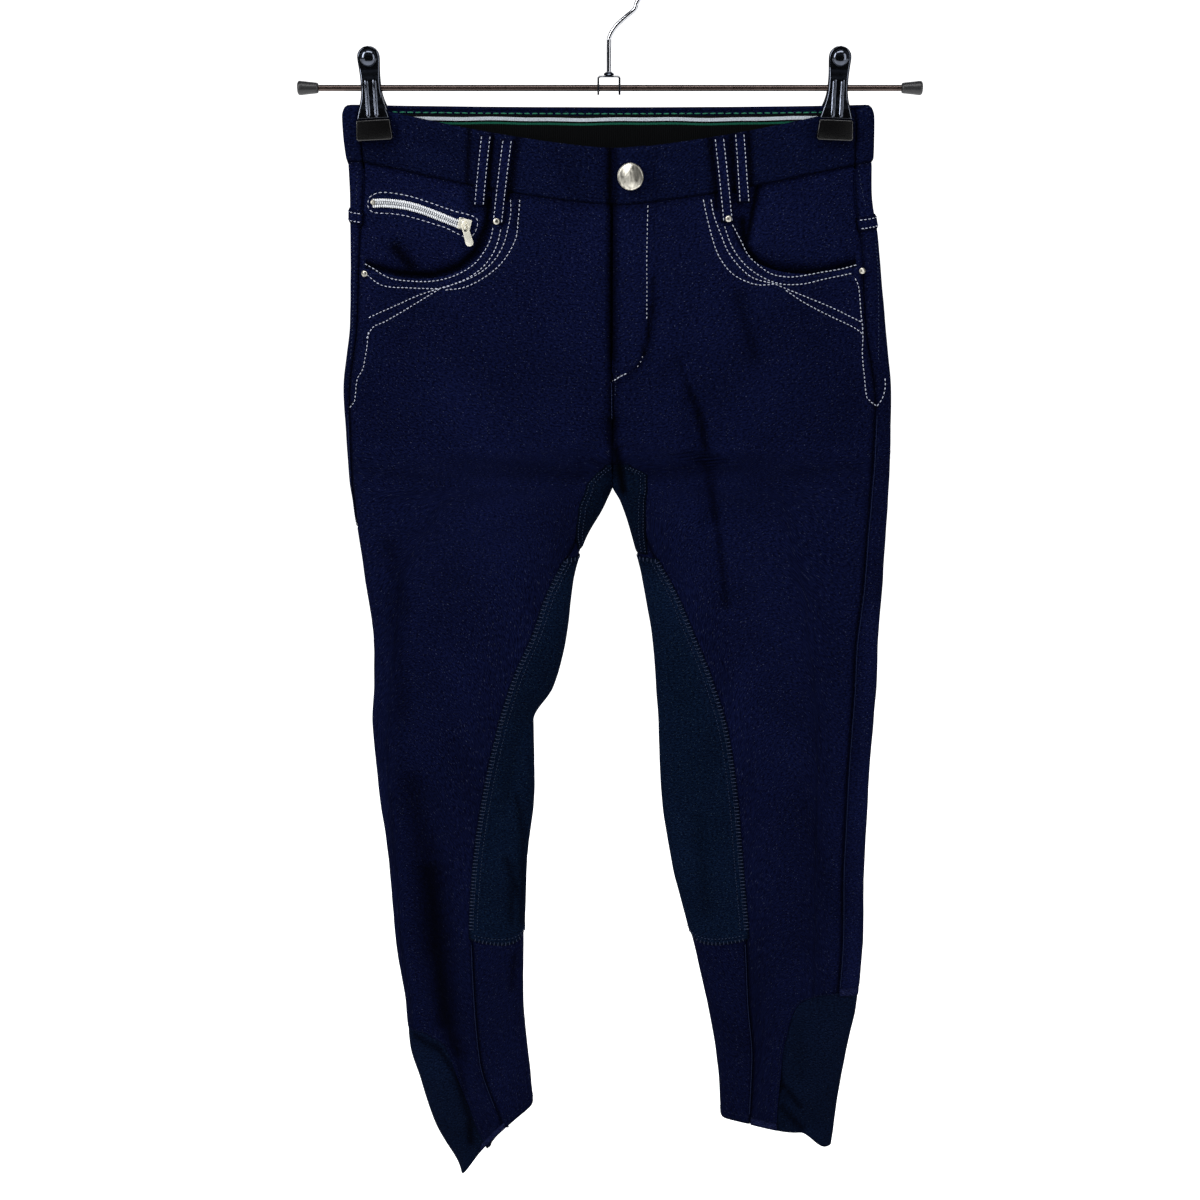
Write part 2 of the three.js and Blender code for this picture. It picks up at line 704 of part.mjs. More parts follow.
function addWaistband() {
  addMesh('waistband_front_left', band.frontLeft, 'band');
  addMesh('waistband_front_right', cut(band.frontRight, grownBand.frontLeft), 'band');
  addMesh('waistband_back', band.back, 'band');

  const elastic = (u, v) => {
    const x = mix(-153, 153, u);
    return backFrame(x, backTopZ(x) - 2 - v * ELASTIC_HEIGHT);
  };
  addMesh('waist_elastic', cut(wall(
    14, 1, elastic, -BAND_IN - SEAM_GAP - ELASTIC, -BAND_IN,
  ), grownBand.back), 'elastic');

  const shield = (u, v) => {
    const x = mix(-16, 22, u);
    return frontFrame(x, mix(frontTopZ(x) - BAND_HEIGHT, -262, v), true);
  };
  const fronts = Object.values(LEGS).map((leg) => panelWalls(leg, 0, -CLOTH - SEAM_GAP, 1)[0]);
  addMesh('fly_shield', cut(wall(
    3, 6, shield, -CLOTH - SEAM_GAP - 1.2, -CLOTH,
  ), ...fronts, ...bandHoles), 'cloth');
}

// Belt loops hang over the band and end on the panel below it
const LOOPS = table(['name', 'x1', 'z1', 'x2', 'z2', 'isBack'], [
  ['front_right_outer', -77.5, -114, -83, -159, false],
  ['front_right_inner', -64, -116.5, -71.5, -170, false],
  ['front_left_inner', 70, -115.5, 77, -169, false],
  ['front_left_outer', 83, -113, 87, -157, false],
  ['back_right', -92, -99.5, -94, -140, true],
  ['back_centre', 3, -100.5, 3, -141, true],
  ['back_left', 98, -99.5, 100, -140, true],
]);
const LOOP_WIDTH = 8.6;

function addLoops() {
  for (const loop of LOOPS) {
    const frame = (u, v) => {
      const x = mix(loop.x1, loop.x2, v) + (u - 0.5) * LOOP_WIDTH;
      const z = mix(loop.z1, loop.z2, v);
      return loop.isBack ? backFrame(x, z) : frontFrame(x, z);
    };
    const bow = (u, v) => BAND_OUT + SEAM_GAP + 0.9 * Math.sin(Math.PI * v) ** 0.6;
    addMesh(`loop_${loop.name}`, wall(
      2, 6, frame, bow, (u, v) => bow(u, v) + 1.5,
    ), 'cloth');
  }
}

// A small tab stitched over the side seam
function addSideTab(leg, panels) {
  const tab = leg.side < 0 ? { z: -167, from: 9, to: -6 } : { z: -171, from: 13, to: -6 };
  const frame = (u, v) => {
    const z = mix(tab.z + 4.5, tab.z - 4.5, v);
    return legFrame(leg, mix(placeAtInset(leg, tab.from, z), placeAtInset(leg, tab.to, z), u), z);
  };
  addMesh(`side_tab_${leg.name}`, cut(wall(6, 1, frame, -0.3, SEAM_GAP + 0.9), ...panels), 'cloth');
}

// The turned hem strip between the cuff and the inner seam
function addHemFacing(leg, panels) {
  const [from, to] = leg.side < 0 ? [-95, -82] : [129, 114];
  const frame = (u, v) => {
    const x = mix(from, to, u);
    const low = hemZ(leg, placeAtX(leg, x, HEM_Z)) + 0.4;
    const z = low + (1 - v) * 5;
    return legFrame(leg, placeAtX(leg, x, z), z);
  };
  const strip = wall(3, 1, frame, -0.3, SEAM_GAP + 0.8);
  addMesh(`hem_facing_${leg.name}`, cut(strip, ...panels), 'cloth');
}

// Places a mesh modelled about +Y so that +Y points out of the cloth
function seat(mesh, frame, height) {
  mesh.quaternion.setFromUnitVectors(new THREE.Vector3(0, 1, 0), frame.normal);
  mesh.position.copy(frame.point).addScaledVector(frame.normal, height);
  return mesh;
}

function addStuds() {
  const button = lathe([
    [0, 0], [7.4, 0], [8.7, 0.7], [8.8, 1.6], [8.0, 2.2], [7.0, 1.9], [6.2, 2.1], [3.6, 2.8], [0, 3.1],
  ], 18);
  seat(addMesh('waist_button', button, 'silver', 0.9), frontFrame(15, -139), BAND_OUT + 0.75);

  const rivet = lathe([[0, 0], [2.4, 0], [2.5, 0.4], [1.9, 1.0], [1.0, 1.3], [0, 1.4]], 10);
  const rivets = [
    ['rivet_right_inner', -72, -168, BAND_OUT + SEAM_GAP + 1.9],
    ['rivet_left_inner', 77.2, -166.5, BAND_OUT + SEAM_GAP + 2.1],
    ['rivet_right_outer', -160, -203.5, 0.45],
    ['rivet_left_outer', 166.5, -201.5, 0.45],
  ];
  for (const [name, x, z, height] of rivets) {
    seat(addMesh(name, rivet.clone(), 'silver', 0.9), frontFrame(x, z, true), height);
  }
}

// The zip of the small pocket on the right hip
const ZIP = { x1: -152, z1: -157.5, x2: -89, z2: -171.5, width: 6 };

function zipFrame(t, off) {
  const x = mix(ZIP.x1, ZIP.x2, t);
  const z = mix(ZIP.z1, ZIP.z2, t ** 1.35) + off;
  return legFrame(LEGS.right, placeAtX(LEGS.right, x, z), z, true);
}

const zipBed = [];
const TAPE = 0.9;
const SLIDER = { plate: 1.3, pivot: 1.25, tilt: -15, slope: 15 };

function addZip() {
  const panel = -CLOTH - SEAM_GAP;
  const tape = wall(
    10, 1, (u, v) => zipFrame(u, ZIP.width * (0.5 - v)), panel - 0.3, panel + SEAM_GAP + TAPE,
  );
  const bed = toSolid(zipBed[0]).translate([0, -SEAM_GAP - 0.05, 0]);
  addMesh('zip_tape', cut(tape, fromSolid(bed)), 'tape');
  const seatHeight = panel + 2 * SEAM_GAP + TAPE + 0.5;
  const frame = zipFrame(0.935, 0);
  const base = frame.point.clone().addScaledVector(frame.normal, seatHeight);

  // The slider: a plate along the teeth, with an arch over the pull's bar
  const plate = new THREE.BoxGeometry(8.4, SLIDER.plate, 7.2);
  plate.translate(0, -SLIDER.plate / 2, 0);
  plate.rotateY(THREE.MathUtils.degToRad(SLIDER.slope));
  const archShape = new THREE.Shape();
  archShape.moveTo(-3, 0);
  archShape.lineTo(-3, 2);
  archShape.quadraticCurveTo(-2.8, 3.4, -1, 3.4);
  archShape.lineTo(1, 3.4);
  archShape.quadraticCurveTo(2.8, 3.4, 3, 2);
  archShape.lineTo(3, 0);
  archShape.lineTo(1.6, 0);
  archShape.lineTo(1.6, 2);
  archShape.lineTo(1, 2.3);
  archShape.lineTo(-1, 2.3);
  archShape.lineTo(-1.6, 2);
  archShape.lineTo(-1.6, 0);
  archShape.closePath();
  const arch = new THREE.ExtrudeGeometry(archShape, { depth: 1.6, bevelEnabled: false, curveSegments: 3 });
  arch.translate(0, 0, -0.8);
  arch.rotateY(-Math.PI / 2);
  arch.rotateX(Math.PI);
  arch.translate(0, 0.1 - SLIDER.plate, 0);
  arch.rotateY(THREE.MathUtils.degToRad(SLIDER.tilt));
  const slider = fromSolid(toSolid(plate).add(toSolid(arch)));
  addMesh('zip_slider', slider, 'silver', 0.9).position.copy(base);

  // The pull hangs from a bar under the arch
  const outline = new THREE.Shape();
  outline.moveTo(-2.2, 0.6);
  outline.lineTo(2.2, 0.6);
  outline.lineTo(2.2, -5.4);
  outline.lineTo(2.6, -11.5);
  outline.absarc(0, -11.8, 2.6, 0, -Math.PI, true);
  outline.lineTo(-2.2, -5.4);
  outline.closePath();
  const hole = new THREE.Path();
  hole.moveTo(-1.3, -0.5);
  hole.lineTo(-1.3, -4.6);
  hole.lineTo(1.3, -4.6);
  hole.lineTo(1.3, -0.5);
  hole.closePath();
  outline.holes.push(hole);
  const pull = new THREE.ExtrudeGeometry(outline, { depth: 1, bevelEnabled: false, curveSegments: 6 });
  pull.translate(0, 0, -0.5);
  pull.rotateX(Math.PI / 2);
  pull.rotateY(THREE.MathUtils.degToRad(SLIDER.tilt));
  const pullMesh = addMesh('zip_pull', pull, 'silver', 0.9);
  pullMesh.position.copy(base).add(new THREE.Vector3(0, -SLIDER.plate - SLIDER.pivot, 0));
}

// The wire of the hook: up from the saddle, out to one side, and round over the top
function hookCurve() {
  const centre = new THREE.Vector3(0, 0, -HOOK_RADIUS + WIRE / 2);
  const points = [
    new THREE.Vector3(0.3, 0, -71.5),
    new THREE.Vector3(0.3, 0, -60),
    new THREE.Vector3(0.8, 0, -55),
    new THREE.Vector3(4.5, 0, -49),
    new THREE.Vector3(10.5, 0, -43.5),
    new THREE.Vector3(16.5, 0, -38.5),
  ];
  for (let degrees = -38; degrees <= 190; degrees += 19) {
    const angle = THREE.MathUtils.degToRad(degrees);
    points.push(new THREE.Vector3(
      HOOK_RADIUS * Math.cos(angle), 0, centre.z + HOOK_RADIUS * Math.sin(angle),
    ));
  }
  return new THREE.CatmullRomCurve3(points);
}

function ring(radius, sides) {
  const shape = new THREE.Shape();
  for (let i = 0; i < sides; i += 1) {
    const angle = (i / sides) * 2 * Math.PI;
    const move = i === 0 ? 'moveTo' : 'lineTo';
    shape[move](radius * Math.cos(angle), radius * Math.sin(angle));
  }
  shape.closePath();
  return shape;
}

function addHanger() {
  const hook = new THREE.ExtrudeGeometry(ring(WIRE / 2, 8), {
    steps: 34, extrudePath: hookCurve(), bevelEnabled: false,
  });
  addMesh('hook', hook, 'chrome', 1);

  const rod = new THREE.CylinderGeometry(ROD_RADIUS, ROD_RADIUS, ROD_LENGTH - 2 * CAP_LENGTH - 0.6, 16);
  rod.rotateZ(Math.PI / 2);
  addMesh('rod', rod, 'chrome', 1).position.set(ROD_X, 0, ROD_Z);

  for (const side of [-1, 1]) {
    const cap = lathe([
      [0, 0], [3.2, 0], [3.4, 0.5], [4.3, 9.5], [4.5, 11.6], [4.1, 12.7], [3.2, 13], [0, 13],
    ], 14);
    cap.rotateZ(-side * Math.PI / 2);
    const mesh = addMesh(side < 0 ? 'rod_cap_right' : 'rod_cap_left', cap, 'rubber');
    mesh.position.set(ROD_X + side * (ROD_LENGTH / 2 - CAP_LENGTH), 0, ROD_Z);
  }

  // The saddle: a bent strip whose two legs are drilled for the rod
  const strip = new THREE.Shape();
  const w = 7.4;
  const top = 12;
  strip.moveTo(-w, -6);
  strip.lineTo(-w, top - 1.5);
  strip.lineTo(-w + 1.5, top);
  strip.lineTo(w - 1.5, top);
  strip.lineTo(w, top - 1.5);
  strip.lineTo(w, -6);
  strip.lineTo(w - 1.2, -6);
  strip.lineTo(w - 1.2, top - 1.9);
  strip.lineTo(w - 1.9, top - 1.2);
  strip.lineTo(-w + 1.9, top - 1.2);
  strip.lineTo(-w + 1.2, top - 1.9);
  strip.lineTo(-w + 1.2, -6);
  strip.closePath();
  const saddle = new THREE.ExtrudeGeometry(strip, { depth: 8, bevelEnabled: false });
  saddle.translate(0, 0, -4);
  saddle.rotateX(Math.PI / 2);
  const bore = new THREE.CylinderGeometry(ROD_RADIUS + 0.3, ROD_RADIUS + 0.3, 30, 16);
  bore.rotateZ(Math.PI / 2);
  addMesh('hanger_saddle', cut(saddle, bore), 'chrome', 1).position.set(0.3, 0, ROD_Z);

  const bead = lathe([[0, 0], [2.6, 0], [3.4, 0.9], [2.6, 1.9], [1.9, 2.4], [0, 2.4]], 12);
  bead.rotateX(Math.PI / 2);
  addMesh('hook_bead', bead, 'chrome', 1).position.set(0.3, 0, ROD_Z + top + SEAM_GAP);
}

// Outline of a pressed clip jaw, seen from the front, with z measured from its rivet
function jawOutline() {
  const shape = new THREE.Shape();
  shape.moveTo(-10.6, -37.3);
  shape.lineTo(-9.6, -33);
  shape.quadraticCurveTo(-6.6, -24, -6.2, -14);
  shape.lineTo(-7.2, -1);
  shape.absarc(0, 0, 7.25, Math.PI * 1.02, -Math.PI * 0.02, true);
  shape.lineTo(6.2, -14);
  shape.quadraticCurveTo(6.6, -24, 9.6, -33);
  shape.lineTo(10.6, -37.3);
  shape.closePath();
  return shape;
}

const JAW_PLATE = 1.1;

// How far the jaw stands from the middle plane at each height below its rivet
const JAW_SIDE = table(['down', 'out'], [
  [-8, 0.15],
  [6, 0.15],
  [14, 2.0],
  [18.8, 2.35],
  [24, 3.0],
  [31, 4.8],
  [38, 5.6],
]);

function jawGeometry(face) {
  const shape = jawOutline();
  const slices = 7;
  const flat = { depth: JAW_PLATE, bevelEnabled: false, curveSegments: 5 };
  let solid = toSolid(new THREE.ExtrudeGeometry(shape, flat));
  // Two long ribs, pressed out of the lower half
  for (const x of [-2.6, 2.6]) {
    const rib = new THREE.BoxGeometry(1.9, 23, 1.2);
    rib.translate(x, -25, JAW_PLATE + 0.1);
    solid = solid.add(toSolid(rib));
  }
  solid = solid.refineToLength(46 / slices);
  const bent = fromSolid(solid);
  const p = bent.attributes.position;
  for (let i = 0; i < p.count; i += 1) {
    const out = smoothAt(JAW_SIDE, 'out', -p.getY(i), 'down') + p.getZ(i);
    p.setXYZ(i, p.getX(i), face * out, p.getY(i));
  }
  return fromSolid(toSolid(outwards(bent)).simplify(FLATNESS));
}

function addClips() {
  const rivetZ = -67.7;
  for (const clip of CLIPS) {
    const group = new THREE.Group();
    group.position.set(clip.x, 0, PAD.top - PAD.height / 2);
    group.rotation.y = THREE.MathUtils.degToRad(-clip.lean);
    parts.add(group);
    const rise = rivetZ - group.position.z;
    for (const [word, face] of [['front', -1], ['back', 1]]) {
      const jaw = addMesh(`clip_${clip.name}_jaw_${word}`, jawGeometry(face), 'chrome', 1);
      jaw.position.set(0, 0, rise);
      group.add(jaw);
      const corner = new THREE.Shape();
      corner.moveTo(-PAD.width / 2 + 1.2, 0);
      corner.lineTo(PAD.width / 2 - 1.2, 0);
      corner.lineTo(PAD.width / 2, 1.5);
      corner.lineTo(PAD.width / 2 - 1, PAD.height);
      corner.lineTo(-PAD.width / 2 + 1, PAD.height);
      corner.lineTo(-PAD.width / 2, 1.5);
      corner.closePath();
      const pad = new THREE.ExtrudeGeometry(corner, { depth: PAD.thick, bevelEnabled: false });
      pad.rotateX(Math.PI / 2);
      const near = PINCH + BAND_OUT + SEAM_GAP + 0.1;
      pad.translate(0, face > 0 ? near + PAD.thick : -near, -PAD.height / 2);
      group.add(addMesh(`clip_${clip.name}_pad_${word}`, pad, 'rubber'));
    }
    // The domed rivet that joins the jaws
    const rivet = lathe([
      [0, 0], [5.2, 0], [5.4, 0.6], [4.6, 1.7], [2.8, 2.6], [0, 3.0],
    ], 16);
    rivet.rotateX(Math.PI);
    const dome = addMesh(`clip_${clip.name}_rivet`, rivet, 'chrome', 1);
    dome.position.set(0, -JAW_SIDE[0].out - JAW_PLATE - SEAM_GAP, rise);
    group.add(dome);
  }
}

for (const leg of Object.values(LEGS)) addLegPanels(leg);
addWaistband();
addLoops();
addStuds();
addZip();
addHanger();
addClips();

export default parts;
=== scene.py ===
# %% [markdown]
# # Riding breeches on a clip hanger
# A child's riding breeches hang from a steel hanger, held at the waistband by two
# clips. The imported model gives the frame: real sizes in metres, +Z up, the front
# facing -Y, and the inside top of the hook at the origin. This lesson dresses that
# frame: each cloth piece becomes a fine sheet on the same form, with its seams,
# creases and sewing, and each metal piece gets the roundness that the frame's
# facets lack.

# %% Load the frame
import math
import random

import bmesh
import bpy
import numpy as np
from mathutils import Matrix, Vector


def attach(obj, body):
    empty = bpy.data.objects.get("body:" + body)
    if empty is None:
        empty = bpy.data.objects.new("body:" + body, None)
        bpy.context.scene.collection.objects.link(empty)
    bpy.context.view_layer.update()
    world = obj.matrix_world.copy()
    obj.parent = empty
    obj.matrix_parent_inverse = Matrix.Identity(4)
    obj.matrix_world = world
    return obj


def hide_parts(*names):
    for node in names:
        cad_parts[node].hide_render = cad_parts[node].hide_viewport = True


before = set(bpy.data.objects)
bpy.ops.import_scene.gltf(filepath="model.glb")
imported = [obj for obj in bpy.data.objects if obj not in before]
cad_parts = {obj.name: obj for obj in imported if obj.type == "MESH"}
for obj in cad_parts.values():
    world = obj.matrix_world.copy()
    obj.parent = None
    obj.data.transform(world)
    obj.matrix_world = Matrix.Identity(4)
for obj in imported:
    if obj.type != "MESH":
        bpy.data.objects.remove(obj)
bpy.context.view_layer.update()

random.seed(7)
MM = 0.001

# %% [markdown]
# ## Sizes of the cloth
# The garment is cut from stretch cotton 1.6 mm thick. Its form could be sculpted by
# hand, but a table of sections is easier to read and to change: one row for each
# level gives the outline of both legs and how far the front and the back stand
# from the middle plane. All lengths here are millimetres.

# %% Sizes and sections
CLOTH = 1.6
BAND_OUT = 0.8
BAND_IN = 1.8
BAND_HEIGHT = 35.5
LENS = 2.5
CENTRE_X = 3
CROTCH_Z = -348
HEM_Z = -890
PINCH = 2.7
ROD_X, ROD_Z = 1, -86.5


def table(names, rows):
    """Columns of a table as arrays, by name."""
    return {name: np.array([row[i] for row in rows], float) for i, name in enumerate(names)}


SECTIONS = table(
    ["z", "right_out", "right_in", "left_in", "left_out", "front", "back"],
    [
        [-94, -167, 3, 3, 167, 21, 12],
        [-104, -170, 3, 3, 170, 21, 12],
        [-150, -168.5, 3, 3, 171.5, 21, 14],
        [-183, -169.5, 3, 3, 177.5, 20.5, 16],
        [-236, -172.5, 3, 3, 185, 20, 18.5],
        [-291, -179, 3, 3, 192, 19, 19.5],
        [-348, -178, 3, 3, 194, 17, 18.5],
        [-362, -176.5, -2, 9.5, 194, 16.5, 18],
        [-391, -173, -17, 18.5, 193.5, 16, 17],
        [-420, -170.5, -25, 25.5, 193.5, 15.5, 16.5],
        [-466, -166.5, -31, 33, 192.5, 15, 15.5],
        [-500, -167.5, -39.5, 36, 193, 14.5, 15],
        [-528, -170, -54.5, 38, 192.5, 14, 14.5],
        [-576, -168, -54.5, 40, 191.5, 14, 14],
        [-641, -162.5, -60.5, 49, 191.5, 13.5, 14],
        [-709, -160, -63.5, 65, 193.5, 13, 13.5],
        [-762, -154.5, -64, 76.5, 192, 12.5, 13],
        [-798, -153, -62, 83, 187, 12, 12.5],
        [-834, -145, -59, 87.5, 182.5, 11.5, 12],
        [-871, -136, -57, 89.5, 179.5, 11, 11],
        [-924, -116, -60, 91, 176, 10, 10],
    ],
)
SIDE_SEAM = table(["z", "right", "left"], [
    [-130, 10, 11], [-190, 6, 12], [-240, 5, 14], [-290, 4, 11.5],
    [-360, 1.5, 14], [-420, -3, 15], [-480, -5, 17.5], [-930, -6, 16.5],
])
FRONT_SEAM = table(["z", "right", "left"], [
    [-348, 3, 3], [-362, -9, 15], [-396, -25, 30], [-428, -41, 47], [-457, -51, 59],
    [-490, -65, 72], [-530, -77, 84], [-580, -88, 92], [-640, -97, 98], [-700, -101, 104],
    [-760, -100, 108], [-810, -97, 112.5], [-860, -84, 112], [-930, -64, 111],
])
GUSSET = table(["z", "right", "left"], [
    [-333, 5, 12], [-341, 12, 24], [-349, 18, 24], [-360, 18, 17.5], [-372, 14, 13],
    [-385, 8, 9.5], [-398, 2, 7.5], [-415, 1, 4], [-430, 1, 1],
])
CUFF = table(["down", "right", "left"], [
    [0, 4, 32], [3, 11, 41], [8, 19, 47], [16, 28, 50], [28, 31, 51],
    [48, 32, 51], [74, 34, 49], [96, 34, 48], [150, 27, 46],
])
print("sections:", len(SECTIONS["z"]), "levels")

# %% [markdown]
# ## Folds and creases
# Cloth that hangs still keeps troughs where it was sat in and folded. The deep ones
# are part of the frame too. The soft ones are only here. Each is a line with a width
# and a depth, and a crease less than 0 deep is a ridge. Placing them one by one, from
# what the real garment shows, is steadier than a cloth simulation, and the hidden
# back gets similar ones.

# %% Folds and creases
FOLDS = table(["back", "x1", "z1", "x2", "z2", "wide", "deep"], [
    [0, 56, -292, 72, -372, 7, 3.6],
    [0, 72, -372, 81, -436, 6, 2.6],
    [0, 40, -274, 50, -260, 7, 1.6],
    [0, -137, -640, -129, -800, 17, 4.6],
    [0, -143, -405, -147, -610, 9, 1.8],
    [0, -60, -530, -70, -588, 6, 2.4],
    [0, -60, -600, -64, -660, 5, 2.0],
    [0, 4, -306, 26, -346, 7, 2.4],
    [0, 2, -306, -20, -346, 7, 2.0],
    [0, 33, -222, 30, -262, 4, 1.8],
    [0, 98, -150, 90, -180, 6, 2.0],
    [0, -140, -186, -112, -196, 7, 2.2],
    [1, -60, -300, -84, -380, 10, 3.4],
    [1, 64, -304, 92, -372, 10, 3.0],
    [1, -92, -520, -64, -560, 10, 2.6],
    [1, 70, -530, 120, -548, 11, 2.6],
    [1, -120, -640, -108, -760, 14, 3.0],
])
CREASES = table(["back", "x1", "z1", "x2", "z2", "wide", "deep"], [
    [0, 62, -300, 74, -372, 3.2, 0.9],
    [0, 47, -296, 62, -372, 5, -0.7],
    [0, 84, -330, 92, -420, 7, -0.6],
    [0, 58, -210, 66, -262, 6, 0.5],
    [0, 66, -212, 74, -256, 5, -0.4],
    [0, -150, -420, -152, -560, 5, -0.6],
    [0, -62, -520, -86, -532, 4, 0.7],
    [0, -66, -545, -74, -600, 4, 0.6],
    [0, -62, -640, -74, -690, 4, 0.6],
    [0, -76, -630, -84, -690, 5, -0.4],
    [0, -8, -318, -46, -338, 5, 0.5],
    [0, 12, -318, 48, -330, 5, 0.4],
    [0, -120, -270, -60, -282, 9, 0.4],
    [0, 96, -252, 150, -268, 9, 0.4],
    [0, -112, -690, -106, -800, 6, 0.5],
    [0, -84, -740, -80, -840, 5, 0.5],
    [0, 136, -760, 132, -846, 5, 0.6],
    [0, 120, -560, 124, -700, 12, 0.5],
    [0, 142, -470, 150, -600, 12, -0.5],
    [0, 50, -470, 62, -560, 7, 0.5],
    [1, -140, -250, -30, -268, 9, 0.7],
    [1, 20, -262, 150, -246, 9, 0.7],
    [1, -120, -330, -20, -346, 7, 1.0],
    [1, 20, -348, 130, -336, 7, 1.0],
    [1, -150, -380, -60, -392, 8, 0.8],
    [1, 60, -396, 160, -384, 8, 0.8],
    [1, -150, -545, -80, -560, 6, 0.8],
    [1, 80, -560, 170, -572, 7, 0.8],
    [1, -140, -690, -100, -700, 6, 0.6],
    [1, 100, -700, 170, -716, 6, 0.6],
])


# %% [markdown]
# Little light reaches the bottom of a fold, so these lines paint that shade into the
# cloth's colour. They say where the cloth is darker, as a share of its colour, and
# where painted light makes it paler, where the share is less than 0. Each sheet stores
# them at its points, so the painted shade stays with the cloth from every side.

# %% Painted shade and light in the folds
# Painted shade along folds, creases, the fly and the loop edges; painted light where the share is below 0.
PAINTED_SHADING = table(["back", "x1", "z1", "x2", "z2", "wide", "dark"], [
    [0, 1.4, -156, 1.8, -258, 2.0, 0.92], [0, 29.0, -204, 28.3, -222, 1.4, 0.60],
    [0, 28.3, -222, 26.9, -240, 2.0, 0.94], [0, 26.9, -240, 23.8, -255, 1.8, 0.92],
    [0, 23.8, -255, 20.0, -263, 1.3, 0.80], [0, 20.0, -263, 12.6, -268, 1.0, 0.55],
    [0, 46, -259, 53, -277, 1.8, 0.45], [0, 53, -277, 60, -294, 2.6, 0.72],
    [0, 60, -294, 64, -310, 3.4, 0.84], [0, 64, -310, 67, -330, 3.2, 0.80],
    [0, 67, -330, 75, -376, 2.8, 0.70], [0, 75, -376, 83, -436, 2.6, 0.60],
    [0, 85, -216, 97, -257, 4.6, 0.42], [0, -151, -390, -142, -440, 5.2, 0.36],
    [0, -149, -430, -147, -520, 7.0, 0.30], [0, -142, -570, -132, -645, 10, 0.50],
    [0, -132, -645, -128, -721, 12.5, 0.84], [0, -128, -721, -123, -776, 10.5, 0.84],
    [0, -123, -776, -115, -804, 7.0, 0.72], [0, -115, -804, -111, -836, 3.0, 0.50],
    [0, 3.2, -300, 4.6, -316, 1.8, 0.85], [0, 4.6, -316, 7.2, -332, 3.2, 0.92],
    [0, 7.2, -332, 10.0, -350, 4.4, 0.92], [0, 187, -440, 187, -742, 6.0, -0.45],
    [0, -171, -560, -162, -700, 5.0, -0.30],
    [0, -89.5, -113, -92, -160, 2.0, 0.80], [0, -74.2, -117, -79, -163, 2.2, 0.85],
    [0, -57.8, -118, -65, -154, 2.4, 0.85], [0, 64.3, -118, 69.8, -160, 2.2, 0.80],
    [0, 77.6, -114, 82, -160, 2.2, 0.80], [0, 89.6, -113, 93.5, -160, 2.2, 0.80],
    [0, -58, -154, -60, -172, 1.8, 0.70], [0, -70, -718, -73, -746, 3.0, 0.50],
    [0, -134, -722, -134, -840, 5.0, -0.10], [0, 100, -400, 100, -640, 32, -0.16],
    [0, -90, -300, -90, -460, 34, -0.12], [0, 60, -220, 60, -250, 16, -0.12],
    [0, 150, -480, 150, -700, 14, 0.12], [0, -150, -520, -150, -560, 12, 0.20],
    [0, -90, -700, -86, -850, 14, -0.10], [0, 110, -720, 100, -860, 20, 0.10],
    [1, -60, -300, -84, -380, 5.0, 0.60], [1, 64, -304, 92, -372, 5.0, 0.55],
    [1, -92, -520, -64, -560, 4.5, 0.50], [1, 70, -530, 120, -548, 5.0, 0.50],
    [1, -120, -640, -108, -760, 7.0, 0.50], [1, -120, -330, -20, -346, 4.0, 0.45],
    [1, 20, -348, 130, -336, 4.0, 0.45], [1, -150, -380, -60, -392, 4.5, 0.35],
    [1, 60, -396, 160, -384, 4.5, 0.35], [1, -150, -545, -80, -560, 4.0, 0.35],
    [1, 80, -560, 170, -572, 4.0, 0.35], [1, -140, -250, -30, -268, 5.0, 0.25],
    [1, 20, -262, 150, -246, 5.0, 0.25],
])
# Painted shade inside the pocket mouths where the opening gapes, with one line of painted light.
POCKET_PAINTED_SHADING = table(["back", "x1", "z1", "x2", "z2", "wide", "dark"], [
    [0, -160, -197, -140, -203, 3.2, 0.85], [0, -140, -203, -116, -204, 4.2, 0.92],
    [0, -116, -204, -98, -198, 3.6, 0.90], [0, -98, -198, -87, -188, 3.2, 0.90],
    [0, -87, -188, -79, -170, 3.0, 0.90], [0, -79, -170, -77, -155, 2.6, 0.90],
    [0, -139, -187, -129, -198, 5.5, 0.85], [0, -112, -193, -98, -186, 3.0, -0.10],
    [0, 96.5, -146, 90, -182, 2.4, 0.92], [0, 87, -168, 89, -184, 3.4, 0.90],
    [0, 89, -184, 97, -195, 3.4, 0.90], [0, 97, -195, 112, -202, 3.6, 0.90],
    [0, 112, -202, 132, -203, 4.2, 0.88], [0, 132, -203, 164, -197, 3.2, 0.80],
    [0, -90, -150, -89, -162, 3.0, 0.50], [0, 95, -150, 95, -158, 3.0, 0.50],
])
# Painted shade on the waistband beside the loops and along the lapped end, and painted light on the lit parts
# of the band.
BAND_PAINTED_SHADING = table(["back", "x1", "z1", "x2", "z2", "wide", "dark"], [
    [0, 0.7, -120, 0.9, -157, 2.6, 0.92],
    [0, -88.8, -110, -91.6, -160, 2.0, 0.80], [0, -73.6, -110, -78.6, -163, 2.2, 0.85],
    [0, -57.6, -112, -63.8, -160, 2.4, 0.80], [0, 63.9, -112, 69.6, -160, 2.4, 0.80],
    [0, 77.3, -110, 81.8, -160, 2.2, 0.80], [0, 89.2, -110, 93.2, -160, 2.2, 0.80],
    [0, -124, -126, -104, -131, 7, -0.20], [0, 38, -134, 46, -137, 6, -0.22],
    [0, 118, -118, 124, -122, 6, -0.22], [0, -30, -128, -20, -150, 7, 0.15],
])
